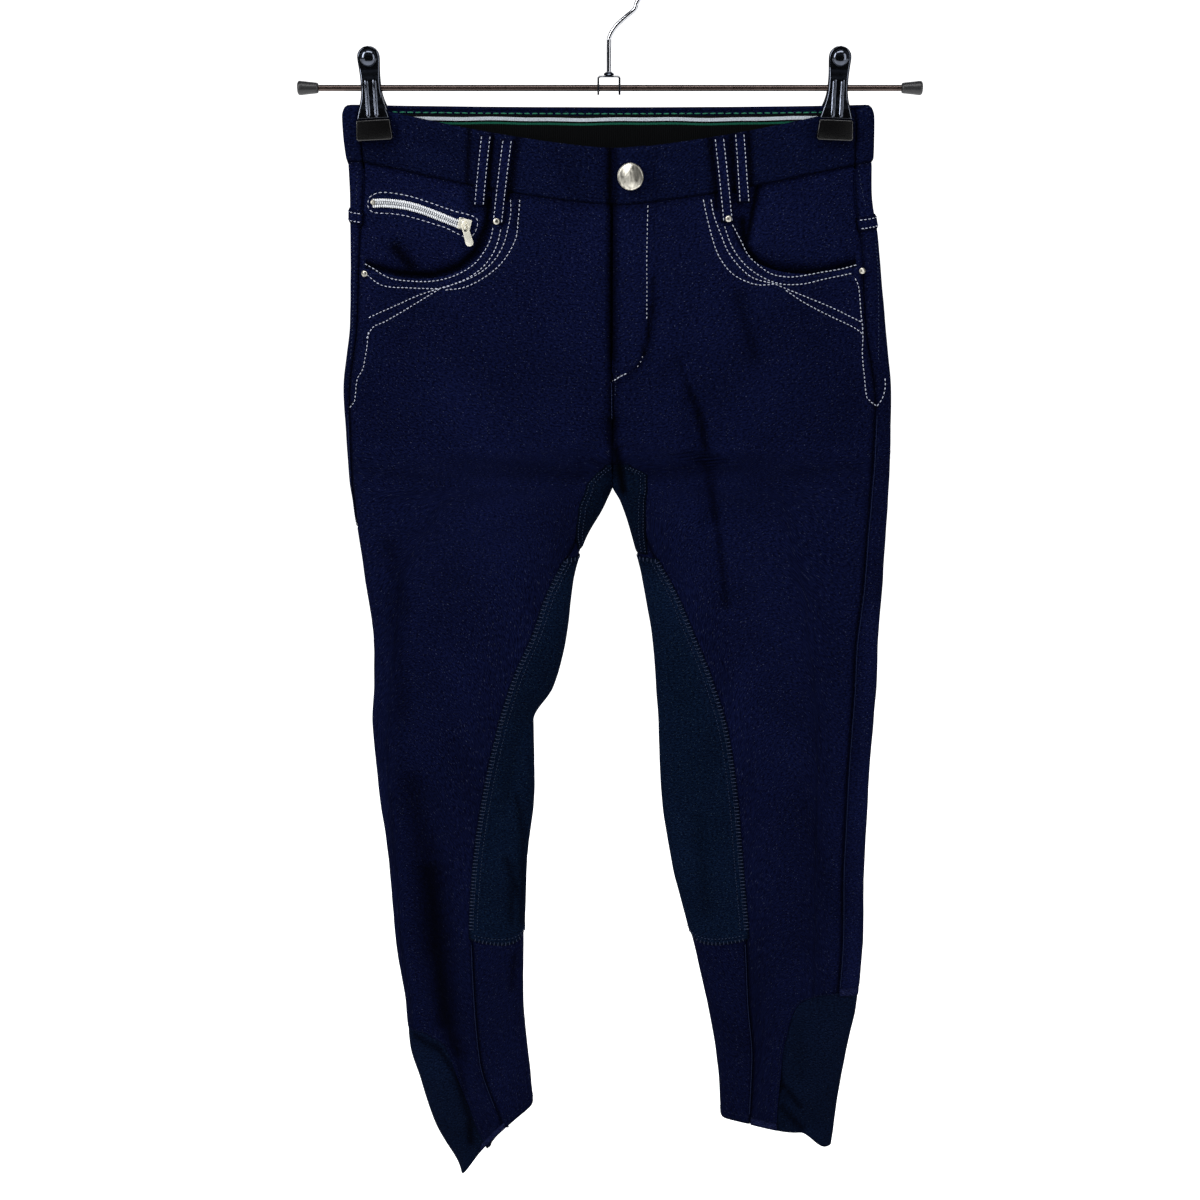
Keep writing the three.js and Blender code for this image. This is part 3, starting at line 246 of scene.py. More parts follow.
# Painted shade in the cuff folds.
CUFF_PAINTED_SHADING = table(["back", "x1", "z1", "x2", "z2", "wide", "dark"], [
    [0, 134, -828, 150, -851, 2.4, 0.75], [0, 135, -850, 153, -873, 2.4, 0.75],
    [0, 131, -812, 134, -866, 2.2, 0.55], [0, 146, -776, 150, -824, 5.0, 0.20],
    [0, -147, -790, -131, -801, 3.0, 0.60], [0, -131, -801, -117, -822, 3.0, 0.65],
    [0, -117, -822, -107, -862, 3.2, 0.75], [0, -107, -862, -107, -884, 3.4, 0.80],
    [1, 140, -800, 168, -850, 4, 0.40], [1, -140, -840, -110, -870, 4, 0.40],
])
# Painted shade on the patches, deepest at the crotch.
PATCH_PAINTED_SHADING = table(["back", "x1", "z1", "x2", "z2", "wide", "dark"], [
    [0, -75, -633, -66, -667, 2.4, 0.50], [0, -71, -640, -72, -690, 2.6, 0.45],
    [0, -62, -620, -64, -690, 3.0, 0.50], [0, 0, -352, 8, -396, 7, 0.60],
    [0, -14, -360, -24, -396, 5, 0.35], [0, -66, -585, -62, -615, 2.6, 0.45],
    [0, 66, -600, 74, -680, 5, 0.25], [0, 4.6, -316, 7.2, -332, 3.2, 0.94],
    [0, 7.2, -332, 10.4, -352, 4.6, 0.94], [0, 20, -330, 26, -398, 16, 0.45],
    [0, -6, -330, -22, -398, 14, 0.40],
])


def smoothstep(start, end, x):
    """0 before start, 1 after end."""
    t = np.clip((x - start) / (end - start), 0, 1)
    return t * t * (3 - 2 * t)


def near_line(rows, i, back, x, z):
    """1 on line i of a table, falling to 0 beside it, on its own side of the body."""
    dx, dz = rows["x2"][i] - rows["x1"][i], rows["z2"][i] - rows["z1"][i]
    along = ((x - rows["x1"][i]) * dx + (z - rows["z1"][i]) * dz) / (dx * dx + dz * dz)
    t = np.clip(along, 0, 1)
    away = np.hypot(x - rows["x1"][i] - t * dx, z - rows["z1"][i] - t * dz)
    return np.where((rows["back"][i] > 0.5) == back, np.exp(-((away / rows["wide"][i]) ** 2)), 0)


def trough(rows, back, x, z):
    """The summed depth of the lines of a table."""
    total = np.zeros(np.broadcast(x, z).shape)
    for i in range(len(rows["x1"])):
        total += rows["deep"][i] * near_line(rows, i, back, x, z)
    return total


def painted_shading_at(rows, back, x, z):
    """Painted shade and light: where lines of painted shade cross or join, the darkest one counts; lines of
    painted light, below 0, add up.
    """
    dark = np.zeros(np.broadcast(x, z).shape)
    painted_light = np.zeros(dark.shape)
    for i in range(len(rows["x1"])):
        share = rows["dark"][i] * near_line(rows, i, back, x, z)
        dark = np.maximum(dark, share)
        painted_light += np.minimum(0, share)
    return dark + painted_light


def unevenness(x, z, back):
    """Slow low waves, so that no stretch of cloth is quite flat."""
    turn = np.where(back, 2.1, 0.0)
    return (
        0.28 * np.sin(x / 19 + z / 37 + turn) * np.sin(z / 31 - x / 53 + 0.7)
        + 0.16 * np.sin(x / 8.5 - z / 23 + 1.3 + turn) * np.sin(z / 13.7 + x / 29)
        + 0.08 * np.sin(x / 4.1 + z / 9.3 + turn) * np.sin(z / 5.9 - x / 11)
    )


print("lines:", len(FOLDS["x1"]), "folds and", len(CREASES["x1"]), "creases")

# %% [markdown]
# ## The form of a hanging leg
# A leg that hangs flat is a tube squeezed from front to back, so each section is a
# superellipse. A place on it is a number `a` that runs from 0 at the outer edge to 1
# at the inner edge over the front, and from 0 to -1 over the back. Above the crotch
# the two legs meet at the centre seam; below it each is a whole tube.

# %% The form of a leg


class Leg:
    """Names of one leg's columns, and the side of the body that it is on."""

    def __init__(self, name, side):
        self.name = name
        self.side = side
        self.out = name + "_out"
        self.inn = name + "_in"


RIGHT, LEFT = Leg("right", -1), Leg("left", 1)


def smooth_at(rows, column, at, by="z"):
    """A smooth curve through a table's column that never overshoots it."""
    keys, values = rows[by], rows[column]
    at = np.asarray(at, float)
    if keys[1] < keys[0]:
        keys, at = -keys, -at
    slope = np.diff(values) / np.diff(keys)
    product = slope[:-1] * slope[1:]
    together = np.where(product > 0, slope[:-1] + slope[1:], 1)
    tangent = np.zeros(len(keys))
    tangent[1:-1] = np.where(product > 0, 2 * product / together, 0)
    k = np.clip(np.searchsorted(keys, at, side="right") - 1, 0, len(keys) - 2)
    h = keys[k + 1] - keys[k]
    s = np.clip((at - keys[k]) / h, 0, 1)
    s2, s3 = s * s, s * s * s
    return (
        values[k] * (2 * s3 - 3 * s2 + 1) + values[k + 1] * (3 * s2 - 2 * s3)
        + h * tangent[k] * (s3 - 2 * s2 + s) + h * tangent[k + 1] * (s3 - s2)
    )


def mix(a, b, t):
    return a + (b - a) * t


def flat_cos(angle):
    c = np.cos(angle)
    return np.sign(c) * np.abs(c) ** (2 / LENS)


def flat_sin(angle):
    return np.maximum(0, np.sin(angle)) ** (2 / LENS)


def flat_angle(c):
    return np.arccos(np.clip(np.sign(c) * np.minimum(1, np.abs(c)) ** (LENS / 2), -1, 1))


def turn_of(back, z):
    return (math.pi / 2) * (1 + smoothstep(np.where(back, -304.0, -316.0), CROTCH_Z, z))


def front_top_z(x):
    return -97 - 25 * (1 - np.minimum(1, np.abs(x - 5) / 165) ** 1.35)


def back_top_z(x):
    return -97 - 2 * (1 - np.minimum(1, np.abs(x - CENTRE_X) / 165) ** 2)


def waist_depth(x, bulge):
    reach = np.abs(x + 2) / 134
    return np.where(reach >= 1, PINCH, PINCH + (bulge - PINCH) * (1 - np.minimum(1, reach) ** 2))


def fly_raise(x, z):
    """The left front is folded back along the fly, so it stands proud there."""
    t = np.clip((-232 - z) / 41, 0, 1)
    reach = 23 * np.sqrt(1 - t * t)
    raised = 1.6 * (1 - smoothstep(reach, reach + 5, x - CENTRE_X))
    return np.where((x < CENTRE_X) | (z < -273), 0, raised)


def wrap_place(a):
    return np.where(a > 1, a - 2, np.where(a < -1, a + 2, a))


def inner_edge(leg, z):
    return np.where(z > CROTCH_Z, CENTRE_X, smooth_at(SECTIONS, leg.inn, z))


def leg_point(leg, a, z, plain=False):
    """Points on the outside of a leg; plain leaves out the fly's raised fold."""
    a, z = np.broadcast_arrays(np.asarray(a, float), np.asarray(z, float))
    t = wrap_place(a)
    back = t < 0
    turn = turn_of(back, z)
    angle = np.abs(t) * turn
    out = smooth_at(SECTIONS, leg.out, z)
    x = mix(out, inner_edge(leg, z), (1 - flat_cos(angle)) / (1 - flat_cos(turn)))
    fullness = flat_sin(angle)
    wall = np.where(back, smooth_at(SECTIONS, "back", z), smooth_at(SECTIONS, "front", z))
    full = wall * fullness
    held = np.minimum(full, waist_depth(x, np.where(back, 7, 21)))
    depth = mix(full, held, smoothstep(-195, -123, z))
    depth = depth - trough(FOLDS, back, x, z) * fullness
    if not plain and leg.side > 0:
        depth = depth + np.where(back, 0, fly_raise(x, z))
    return np.stack([x, np.where(back, depth, -depth), z], -1)


def place_at_x(leg, x, z, back=False):
    """The place on a leg at a given x, on its front or its back."""
    out = smooth_at(SECTIONS, leg.out, z)
    part = np.clip((x - out) / (inner_edge(leg, z) - out), 0, 1)
    turn = turn_of(np.asarray(back), z)
    a = flat_angle(1 - part * (1 - flat_cos(turn))) / turn
    return np.where(back, -a, a)


def place_at_inset(leg, inset, z):
    out = smooth_at(SECTIONS, leg.out, z)
    return place_at_x(leg, out - leg.side * np.abs(inset), z, np.asarray(inset) < 0)


print("hem inside:", leg_point(LEFT, 1.0, HEM_Z).round(1))

# %% [markdown]
# ## Points with a direction
# Everything that lies on the cloth, such as a patch, a stitch or a rivet, needs the
# outward direction as well as the point. It comes from two small steps along the
# surface. The soft creases are added here, so whatever is sewn on follows them too.

# %% Frames on the cloth


def leg_frame(leg, a, z, plain=False, lift=0):
    """Points and outward directions on the creased cloth, moved out by lift."""
    a, z = np.broadcast_arrays(np.asarray(a, float), np.asarray(z, float))
    h = 0.012
    above = z > CROTCH_Z
    a0 = np.where(above, np.maximum(-0.9999, a - h), a - h)
    a1 = np.where(above, np.minimum(0.9999, a + h), a + h)
    across = leg_point(leg, a1, z, plain) - leg_point(leg, a0, z, plain)
    down = leg_point(leg, a, z - 1.5, plain) - leg_point(leg, a, z + 1.5, plain)
    normal = np.cross(across, down) * leg.side
    normal /= np.linalg.norm(normal, axis=-1, keepdims=True) + 1e-12
    point = leg_point(leg, a, z, plain)
    back = wrap_place(a) < 0
    calm = smoothstep(0.02, 0.25, np.abs(wrap_place(a)))
    soft = unevenness(point[..., 0], z, back) - trough(CREASES, back, point[..., 0], z) * calm
    return point + normal * (soft + lift)[..., None], normal


def body_frame(x, z, back=False, plain=False, lift=0):
    """The same by x, across both legs."""
    x, z = np.broadcast_arrays(np.asarray(x, float), np.asarray(z, float))
    lift = np.broadcast_to(lift, x.shape)
    on_left = x >= CENTRE_X
    point, normal = np.zeros(x.shape + (3,)), np.zeros(x.shape + (3,))
    for leg, part in ((RIGHT, ~on_left), (LEFT, on_left)):
        if part.any():
            a = place_at_x(leg, x[part], z[part], back)
            point[part], normal[part] = leg_frame(leg, a, z[part], plain, lift[part])
    return point, normal


def nudge(leg, a, z, distance):
    """Moves a place along the section by a true distance."""
    step = np.linalg.norm(leg_point(leg, a + 0.004, z) - leg_point(leg, a, z), axis=-1) / 0.004
    other = np.linalg.norm(leg_point(leg, a, z) - leg_point(leg, a - 0.004, z), axis=-1) / 0.004
    return a + distance / np.maximum(20, np.minimum(step, other))


def side_seam(leg, z):
    return place_at_inset(leg, smooth_at(SIDE_SEAM, leg.name, z), z)


def front_seam(leg, z):
    return np.where(z >= CROTCH_Z, 1, place_at_x(leg, smooth_at(FRONT_SEAM, leg.name, z), z))


def hem_z(leg, a):
    part = (1 - flat_cos(np.abs(wrap_place(a)) * math.pi)) / 2
    if leg.side < 0:
        return mix(-921, -852, part) - 40 * np.maximum(0, part - 0.85) ** 1.5
    return -866 - 10 * smoothstep(0.95, 0.3, part) - 16 * smoothstep(0.32, 0.05, part)


point, normal = body_frame(np.array([15.0]), np.array([-139.0]))
print("waist button sits at", point.round(1), "facing", normal.round(2))

# %% [markdown]
# ## Materials
# Navy stretch cotton is a dark cloth with a fuzzy face: two tones of yarn make it
# melange, a fine twill gives it grain, and stray lint shows as pale specks. Noise
# and wave textures in real millimetres make all of it. They read each sheet's own
# UV map, which is laid out in metres along the cloth, so the weave keeps its scale
# and follows every turn.

# %% Node helpers


def new_material(name, colour, roughness, metallic=0.0):
    """A material whose Principled shader holds its constants on its own sockets."""
    material = bpy.data.materials.new(name)
    material.use_nodes = True
    shader = material.node_tree.nodes["Principled BSDF"]
    shader.inputs["Base Color"].default_value = (*colour, 1)
    shader.inputs["Roughness"].default_value = roughness
    shader.inputs["Metallic"].default_value = metallic
    return material, material.node_tree, shader


def coordinates(tree, output, scale):
    place = tree.nodes.new("ShaderNodeTexCoord")
    mapping = tree.nodes.new("ShaderNodeMapping")
    mapping.inputs["Scale"].default_value = scale
    tree.links.new(place.outputs[output], mapping.inputs["Vector"])
    return mapping.outputs["Vector"]


def noise_texture(tree, vector, scale, detail=2.0, roughness=0.5):
    texture = tree.nodes.new("ShaderNodeTexNoise")
    texture.inputs["Scale"].default_value = scale
    texture.inputs["Detail"].default_value = detail
    texture.inputs["Roughness"].default_value = roughness
    tree.links.new(vector, texture.inputs["Vector"])
    return texture.outputs["Fac"]


def ramp(tree, value, stops, constant=False):
    """A colour ramp; stops are (position, colour) pairs."""
    node = tree.nodes.new("ShaderNodeValToRGB")
    node.color_ramp.interpolation = "CONSTANT" if constant else "LINEAR"
    elements = node.color_ramp.elements
    while len(elements) < len(stops):
        elements.new(0.5)
    for element, (position, colour) in zip(elements, stops):
        element.position = position
        element.color = (*colour, 1)
    tree.links.new(value, node.inputs["Fac"])
    return node.outputs["Color"]


def blend_colours(tree, fac, a, b, mode="MIX"):
    """Mixes two colours; fac, a and b are sockets or constants."""
    node = tree.nodes.new("ShaderNodeMix")
    node.data_type = "RGBA"
    node.blend_type = mode
    for value, socket in ((fac, node.inputs[0]), (a, node.inputs[6]), (b, node.inputs[7])):
        if hasattr(value, "links"):
            tree.links.new(value, socket)
        elif isinstance(value, (int, float)):
            socket.default_value = value
        else:
            socket.default_value = (*value, 1)
    return node.outputs[2]


def bump(tree, shader, height, distance, strength=1.0, under=None):
    node = tree.nodes.new("ShaderNodeBump")
    node.inputs["Distance"].default_value = distance
    node.inputs["Strength"].default_value = strength
    tree.links.new(height, node.inputs["Height"])
    if under is not None:
        tree.links.new(under, node.inputs["Normal"])
    tree.links.new(node.outputs["Normal"], shader.inputs["Normal"])
    return node.outputs["Normal"]


print("node helpers ready")

# %% Cloth materials


def cloth_material(name, dark, light, speck, speck_at, weave, grain=1.0):
    """Woven or napped cloth: yarn melange, slow fading, lint, a twill grain, and the painted shade and light
    that each sheet stores.
    """
    material, tree, shader = new_material(name, dark, 0.88)
    yarn = coordinates(tree, "UV", (1.0, 1.7, 1.0))
    cloth = coordinates(tree, "UV", (1.0, 1.0, 1.0))
    melange = noise_texture(tree, yarn, 520, 4, 0.75)
    colour = ramp(tree, melange, [(0.40, dark), (0.62, light)])
    fading = noise_texture(tree, cloth, 14, 3, 0.55)
    shade = ramp(tree, fading, [(0.3, (0.80,) * 3), (0.7, (1.22,) * 3)])
    colour = blend_colours(tree, 1.0, colour, shade, "MULTIPLY")
    lint = noise_texture(tree, yarn, 900, 1, 0.4)
    lint = ramp(tree, lint, [(speck_at, (0,) * 3), (speck_at + 0.05, (1,) * 3)])
    colour = blend_colours(tree, lint, colour, speck)
    # Painted shade and light: the colour is multiplied by the share each sheet stores at its points.
    painted_shade_node = tree.nodes.new("ShaderNodeAttribute")
    painted_shade_node.attribute_name = "painted_light_and_shade"
    colour = blend_colours(tree, 1.0, colour, painted_shade_node.outputs["Color"], "MULTIPLY")
    tree.links.new(colour, shader.inputs["Base Color"])
    twill = tree.nodes.new("ShaderNodeTexWave")
    twill.bands_direction = "DIAGONAL"
    twill.inputs["Scale"].default_value = weave
    twill.inputs["Distortion"].default_value = 1.2
    twill.inputs["Detail"].default_value = 1.0
    tree.links.new(cloth, twill.inputs["Vector"])
    fine = bump(tree, shader, twill.outputs["Fac"], 0.00012 * grain)
    nap = noise_texture(tree, yarn, 480, 3, 0.6)
    bump(tree, shader, nap, 0.00045 * grain, 1.0, fine)
    shader.inputs["Sheen Weight"].default_value = 0.006
    shader.inputs["Sheen Roughness"].default_value = 0.45
    shader.inputs["Sheen Tint"].default_value = (0.35, 0.45, 0.9, 1)
    shader.inputs["Specular IOR Level"].default_value = 0.012
    return material


NAVY = cloth_material(
    "navy_stretch_cotton", (0.0003, 0.0006, 0.0060), (0.0044, 0.0070, 0.0355),
    (0.055, 0.065, 0.12), 0.70, 230,
)
BAND_NAVY = cloth_material(
    "navy_band", (0.0003, 0.0006, 0.0050), (0.0035, 0.0060, 0.0285),
    (0.050, 0.060, 0.11), 0.70, 230,
)
SLATE = cloth_material(
    "slate_suede_patch", (0.0004, 0.0016, 0.0062), (0.0036, 0.0104, 0.0320),
    (0.030, 0.055, 0.085), 0.69, 330, 0.8,
)
CUFF_SLATE = cloth_material(
    "slate_stretch_knit", (0.0005, 0.0014, 0.0056), (0.0040, 0.0090, 0.0290),
    (0.035, 0.050, 0.085), 0.72, 260, 0.8,
)
TURNED_NAVY = cloth_material(
    "turned_navy_edge", (0.0010, 0.0016, 0.0100), (0.0120, 0.0160, 0.0620),
    (0.070, 0.080, 0.14), 0.68, 230,
)
print("cloths:", NAVY.name, BAND_NAVY.name, SLATE.name, CUFF_SLATE.name)

# %% [markdown]
# The inner waist elastic is woven in stripes. Its UV map runs down from its top edge,
# so a ramp with hard steps paints the stripes in their true widths, and a rib bump
# along the weave makes it read as elastic.

# %% Elastic, thread and metal materials


def elastic_material():
    """Striped woven elastic with a rib along it."""
    material, tree, shader = new_material("striped_elastic", (0.004, 0.004, 0.005), 0.8)
    down = coordinates(tree, "UV", (1.0, -25.0, 1.0))
    split = tree.nodes.new("ShaderNodeSeparateXYZ")
    tree.links.new(down, split.inputs[0])
    black, white, green = (0.0011, 0.0014, 0.0017), (0.46, 0.50, 0.56), (0.006, 0.075, 0.045)
    stripes = ramp(tree, split.outputs["Y"], [
        (0.0, black), (0.036, white), (0.090, black), (0.120, green), (0.150, black),
    ], constant=True)
    grain = noise_texture(tree, coordinates(tree, "UV", (1, 2.5, 1)), 900, 2)
    shade = ramp(tree, grain, [(0.3, (0.7,) * 3), (0.7, (1.25,) * 3)])
    tree.links.new(blend_colours(tree, 1.0, stripes, shade, "MULTIPLY"), shader.inputs["Base Color"])
    rib = tree.nodes.new("ShaderNodeTexWave")
    rib.bands_direction = "X"
    rib.inputs["Scale"].default_value = 260
    rib.inputs["Distortion"].default_value = 0.5
    tree.links.new(coordinates(tree, "UV", (1, 1, 1)), rib.inputs["Vector"])
    bump(tree, shader, rib.outputs["Fac"], 0.0002)
    shader.inputs["Specular IOR Level"].default_value = 0.06
    return material


def thread_material(name, colour, gloss=0.5):
    """Twisted thread; gloss is how much of the light it throws back."""
    material, tree, shader = new_material(name, colour, 0.55)
    twist = noise_texture(tree, coordinates(tree, "Object", (1, 1, 1)), 1500, 2)
    shade = ramp(tree, twist, [(0.3, (0.62,) * 3), (0.7, (1.15,) * 3)])
    tree.links.new(blend_colours(tree, 1.0, shade, colour, "MULTIPLY"), shader.inputs["Base Color"])
    shader.inputs["Sheen Weight"].default_value = 0.4 * gloss
    shader.inputs["Specular IOR Level"].default_value = gloss
    return material


def metal_material(name, colour, roughness, marks, pits=0.0, metallic=1.0, tarnish=0.8, size=260):
    """Plated metal with faint wipe marks in its gloss, duller where it is tarnished."""
    material, tree, shader = new_material(name, colour, roughness, metallic)
    vector = coordinates(tree, "Object", (1, 1, 0.35))
    wear = noise_texture(tree, vector, size, 4, 0.6)
    rough = tree.nodes.new("ShaderNodeMapRange")
    rough.inputs["To Min"].default_value = roughness * 0.7
    rough.inputs["To Max"].default_value = roughness + marks
    tree.links.new(wear, rough.inputs["Value"])
    tree.links.new(rough.outputs["Result"], shader.inputs["Roughness"])
    tone = ramp(tree, wear, [(0.36, tuple(c * tarnish for c in colour)), (0.62, colour)])
    tree.links.new(tone, shader.inputs["Base Color"])
    if pits:
        bump(tree, shader, noise_texture(tree, vector, 900, 3), pits)
    return material


def plastic_material(name, colour, roughness, coat):
    """Fine-grained plastic or rubber under a clear coat."""
    material, tree, shader = new_material(name, colour, roughness)
    grain = noise_texture(tree, coordinates(tree, "Object", (1, 1, 1)), 700, 3)
    bump(tree, shader, grain, 0.00006)
    shader.inputs["Coat Weight"].default_value = coat
    shader.inputs["Coat Roughness"].default_value = 0.06
    return material


ELASTIC = elastic_material()
WHITE_THREAD = thread_material("white_thread", (0.52, 0.55, 0.66))
SLATE_THREAD = thread_material("slate_thread", (0.030, 0.043, 0.092), 0.1)
# Paler than the navy cloth: painted highlight on the seam ridges.
RIDGE_HIGHLIGHT_THREAD = thread_material("seam_ridge_painted_highlight", (0.010, 0.016, 0.055), 0.03)
NAVY_THREAD = thread_material("navy_thread", (0.004, 0.007, 0.028), 0.03)
GREEN_THREAD = thread_material("green_thread", (0.014, 0.170, 0.095), 0.2)
ZIP_WHITE = thread_material("white_zip_coil", (0.88, 0.90, 0.93))
ZIP_GREY = thread_material("grey_zip_tape", (0.16, 0.17, 0.19), 0.1)
CHROME = metal_material("bright_chrome", (0.62, 0.63, 0.66), 0.06, 0.08)
CLIP_CHROME = metal_material("dark_chrome", (0.085, 0.095, 0.12), 0.09, 0.10, 0.00002)
ROD_STEEL = metal_material("drawn_steel", (0.080, 0.060, 0.054), 0.28, 0.10)
ANTIQUE = metal_material("antique_silver", (0.66, 0.63, 0.55), 0.30, 0.16, 0.00010, 1.0, 0.24, 340)
ZINC = metal_material("bright_zinc", (0.96, 0.93, 0.80), 0.40, 0.12, 0.00004, 0.45)
GLOSS_BLACK = plastic_material("gloss_black_plastic", (0.0008, 0.0008, 0.0010), 0.25, 0.12)
RUBBER = plastic_material("black_rubber", (0.010, 0.010, 0.011), 0.45, 0.1)
print("threads and metals ready")

# %% [markdown]
# ## How a sheet is made
# `bmesh.ops.create_grid` gives a flat grid. Its corners run from -1 to 1, which serves
# as the place on the piece, and a form function moves every vertex onto the garment.
# Edges that are turned under dip into the seam. A Solidify modifier then gives the
# cloth its thickness. The alternative, simulating cloth, would lose the real outline.

# %% Sheets from a grid
SHEETS = []
NARROWEST = 0.0102  # metres; a turned strip is never cut narrower


def grid_sheet(name, columns, rows, frame_of, material, node, thick=CLOTH, dips=(), cut=None,
               painted_shading_table=PAINTED_SHADING):
    """A sheet of cloth. frame_of(u, v) gives points and directions; dips holds
    (edge, depth, width) for the turned edges, which also get painted shade;
    cut(points) says which faces go; the table of lines gives the painted shade and
    light that the sheet stores at its points."""
    bm = bmesh.new()
    bmesh.ops.create_grid(bm, x_segments=columns, y_segments=rows, size=1.0)
    flat = np.array([v.co[:2] for v in bm.verts])
    i = np.rint((flat[:, 0] + 1) / 2 * columns).astype(int)
    j = np.rint((flat[:, 1] + 1) / 2 * rows).astype(int)
    points, normals = frame_of(i / columns, j / rows)
    order = np.zeros((rows + 1, columns + 1), int)
    order[j, i] = np.arange(len(flat))
    across = np.linalg.norm(np.diff(points[order], axis=1), axis=2)
    down = np.linalg.norm(np.diff(points[order], axis=0), axis=2)
    s = np.concatenate([np.zeros((rows + 1, 1)), np.cumsum(across, 1)], 1)
    t = np.concatenate([np.zeros((1, columns + 1)), np.cumsum(down, 0)], 0)
    edges = {"left": s, "right": s[:, -1:] - s, "top": t, "bottom": t[-1:] - t}
    lift, painted_edge_shade = np.zeros(s.shape), np.ones(s.shape)
    for edge, depth, width in dips:
        lift -= depth * np.exp(-((edges[edge] / width) ** 2))
        # Painted shade: the colour darkens along each dipped edge, where the seam's shadow falls.
        painted_edge_shade *= 1 - 0.6 * np.exp(-((edges[edge] / (1.3 * width)) ** 2))
    # Painted shade and painted light from the table's lines, kept per point as a share of the cloth's colour.
    dark = painted_shading_at(painted_shading_table, points[:, 1] > 0, points[:, 0], points[:, 2])
    light = np.clip(1 - dark, 0.06, 1.5) * painted_edge_shade[j, i]
    points = points + normals * lift[j, i][:, None]
    for vertex, point in zip(bm.verts, points):
        vertex.co = point * MM
    bm.verts.index_update()
    # The painted shade and light are stored as a point attribute for the cloth material.
    shade = bm.verts.layers.float.new("painted_light_and_shade")
    for vertex, value in zip(bm.verts, light):
        vertex[shade] = value
    layer = bm.loops.layers.uv.new("cloth")
    centred = s - s[:, [columns // 2]]
    u, v = centred[j, i] * MM, -t[j, i] * MM
    for face in bm.faces:
        for loop in face.loops:
            loop[layer].uv = (u[loop.vert.index], v[loop.vert.index])
    if cut is not None:
        cut_grid(bm, cut)
    bm.normal_update()
    middle = bm.faces[:][len(bm.faces) // 2]
    near = np.argmin(np.linalg.norm(points * MM - np.array(middle.calc_center_median()), axis=1))
    if middle.normal.dot(Vector(normals[near])) < 0:
        bmesh.ops.reverse_faces(bm, faces=bm.faces[:])
    area = sum(face.calc_area() for face in bm.faces)
    piece = finish_mesh(bm, name, material, node)
    wall = piece.modifiers.new("wall", "SOLIDIFY")
    wall.thickness = thick * MM
    wall.offset = -1
    size = tuple(max(NARROWEST, float(reach.max()) * MM) for reach in (s[:, -1], t[-1]))
    share = max(0.31 * size[0] * size[1], min(area, size[0] * size[1]))
    SHEETS.append((name, size, share))
    return piece


def finish_mesh(bm, name, material, node=None, body="breeches", smooth=True):
    """Turns a bmesh into a piece that rides on a body and may stand for a node."""
    mesh = bpy.data.meshes.new(name)
    bm.normal_update()
    bm.to_mesh(mesh)
    bm.free()
    mesh.materials.append(material)
    mesh.polygons.foreach_set("use_smooth", [smooth] * len(mesh.polygons))
    piece = bpy.data.objects.new(name, mesh)
    bpy.context.scene.collection.objects.link(piece)
    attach(piece, body)
    if node:
        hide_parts(*([node] if isinstance(node, str) else node))
    return piece


print("sheet maker ready")

# %% [markdown]
# ## Shaped openings
# A pocket mouth or an ankle cut-out is an outline on the panel. Faces whose middle
# lies inside the outline are deleted, and the vertices left on the ragged edge are
# moved onto the outline. This keeps the grid even, where a boolean would leave
# slivers that shade badly.

# %% Cutting an outline out of a grid


def inside_outline(x, z, outline):
    """True for the points inside a closed outline of (x, z) rows."""
    hit = np.zeros(x.shape, bool)
    for (x1, z1), (x2, z2) in zip(outline, np.roll(outline, -1, axis=0)):
        if z1 == z2:
            continue
        crosses = (z1 > z) != (z2 > z)
        hit ^= crosses & (x < (x2 - x1) * (z - z1) / (z2 - z1) + x1)
    return hit


def nearest_on(x, z, line):
    """The nearest points of an open line of (x, z) rows."""
    a, b = line[:-1], line[1:]
    step = b - a
    p = np.stack([x, z], -1)[:, None]
    t = np.clip(((p - a) * step).sum(-1) / np.maximum(1e-9, (step * step).sum(-1)), 0, 1)
    q = a + t[..., None] * step
    best = np.argmin(np.linalg.norm(p - q, axis=-1), axis=1)
    return q[np.arange(len(x)), best]


def cut_grid(bm, cuts):
    """Each cut is (outline, edge line, side test, move): move gives the new point."""
    for outline, line, applies, move in cuts:
        faces = bm.faces[:]
        middles = np.array([face.calc_center_median() for face in faces]) / MM
        gone = inside_outline(middles[:, 0], middles[:, 2], outline) & applies(middles)
        doomed = [face for face, out in zip(faces, gone) if out]
        keep = {face for face, out in zip(faces, gone) if not out}
        edge = [v for v in {v for face in doomed for v in face.verts}
                if any(face in keep for face in v.link_faces)]
        if edge:
            co = np.array([v.co for v in edge]) / MM
            target = nearest_on(co[:, 0], co[:, 2], line)
            shift = np.linalg.norm(target - co[:, [0, 2]], axis=1)
            moved = move(co, target)
            for vertex, point, far in zip(edge, moved, shift):
                if far < 4:
                    vertex.co = point * MM
        bmesh.ops.delete(bm, geom=doomed, context="FACES")


print("outline cutter ready")

# %% [markdown]
# ## Pocket mouths and cuff openings
# The mouth of each front pocket is a flat curve from the side seam that turns up to
# the waistband. The ankle opening follows the table of cuff insets. Both are written
# once here, because the stitching follows them as well.

# %% Mouth and cuff outlines
MOUTH = {
    "right": {"outer": -162, "inner": -75, "low": -206, "side": -200},
    "left": {"outer": 170, "inner": 79.5, "low": -203, "side": -198},
}
CUFF_TOP = {"right": -783, "left": -751}


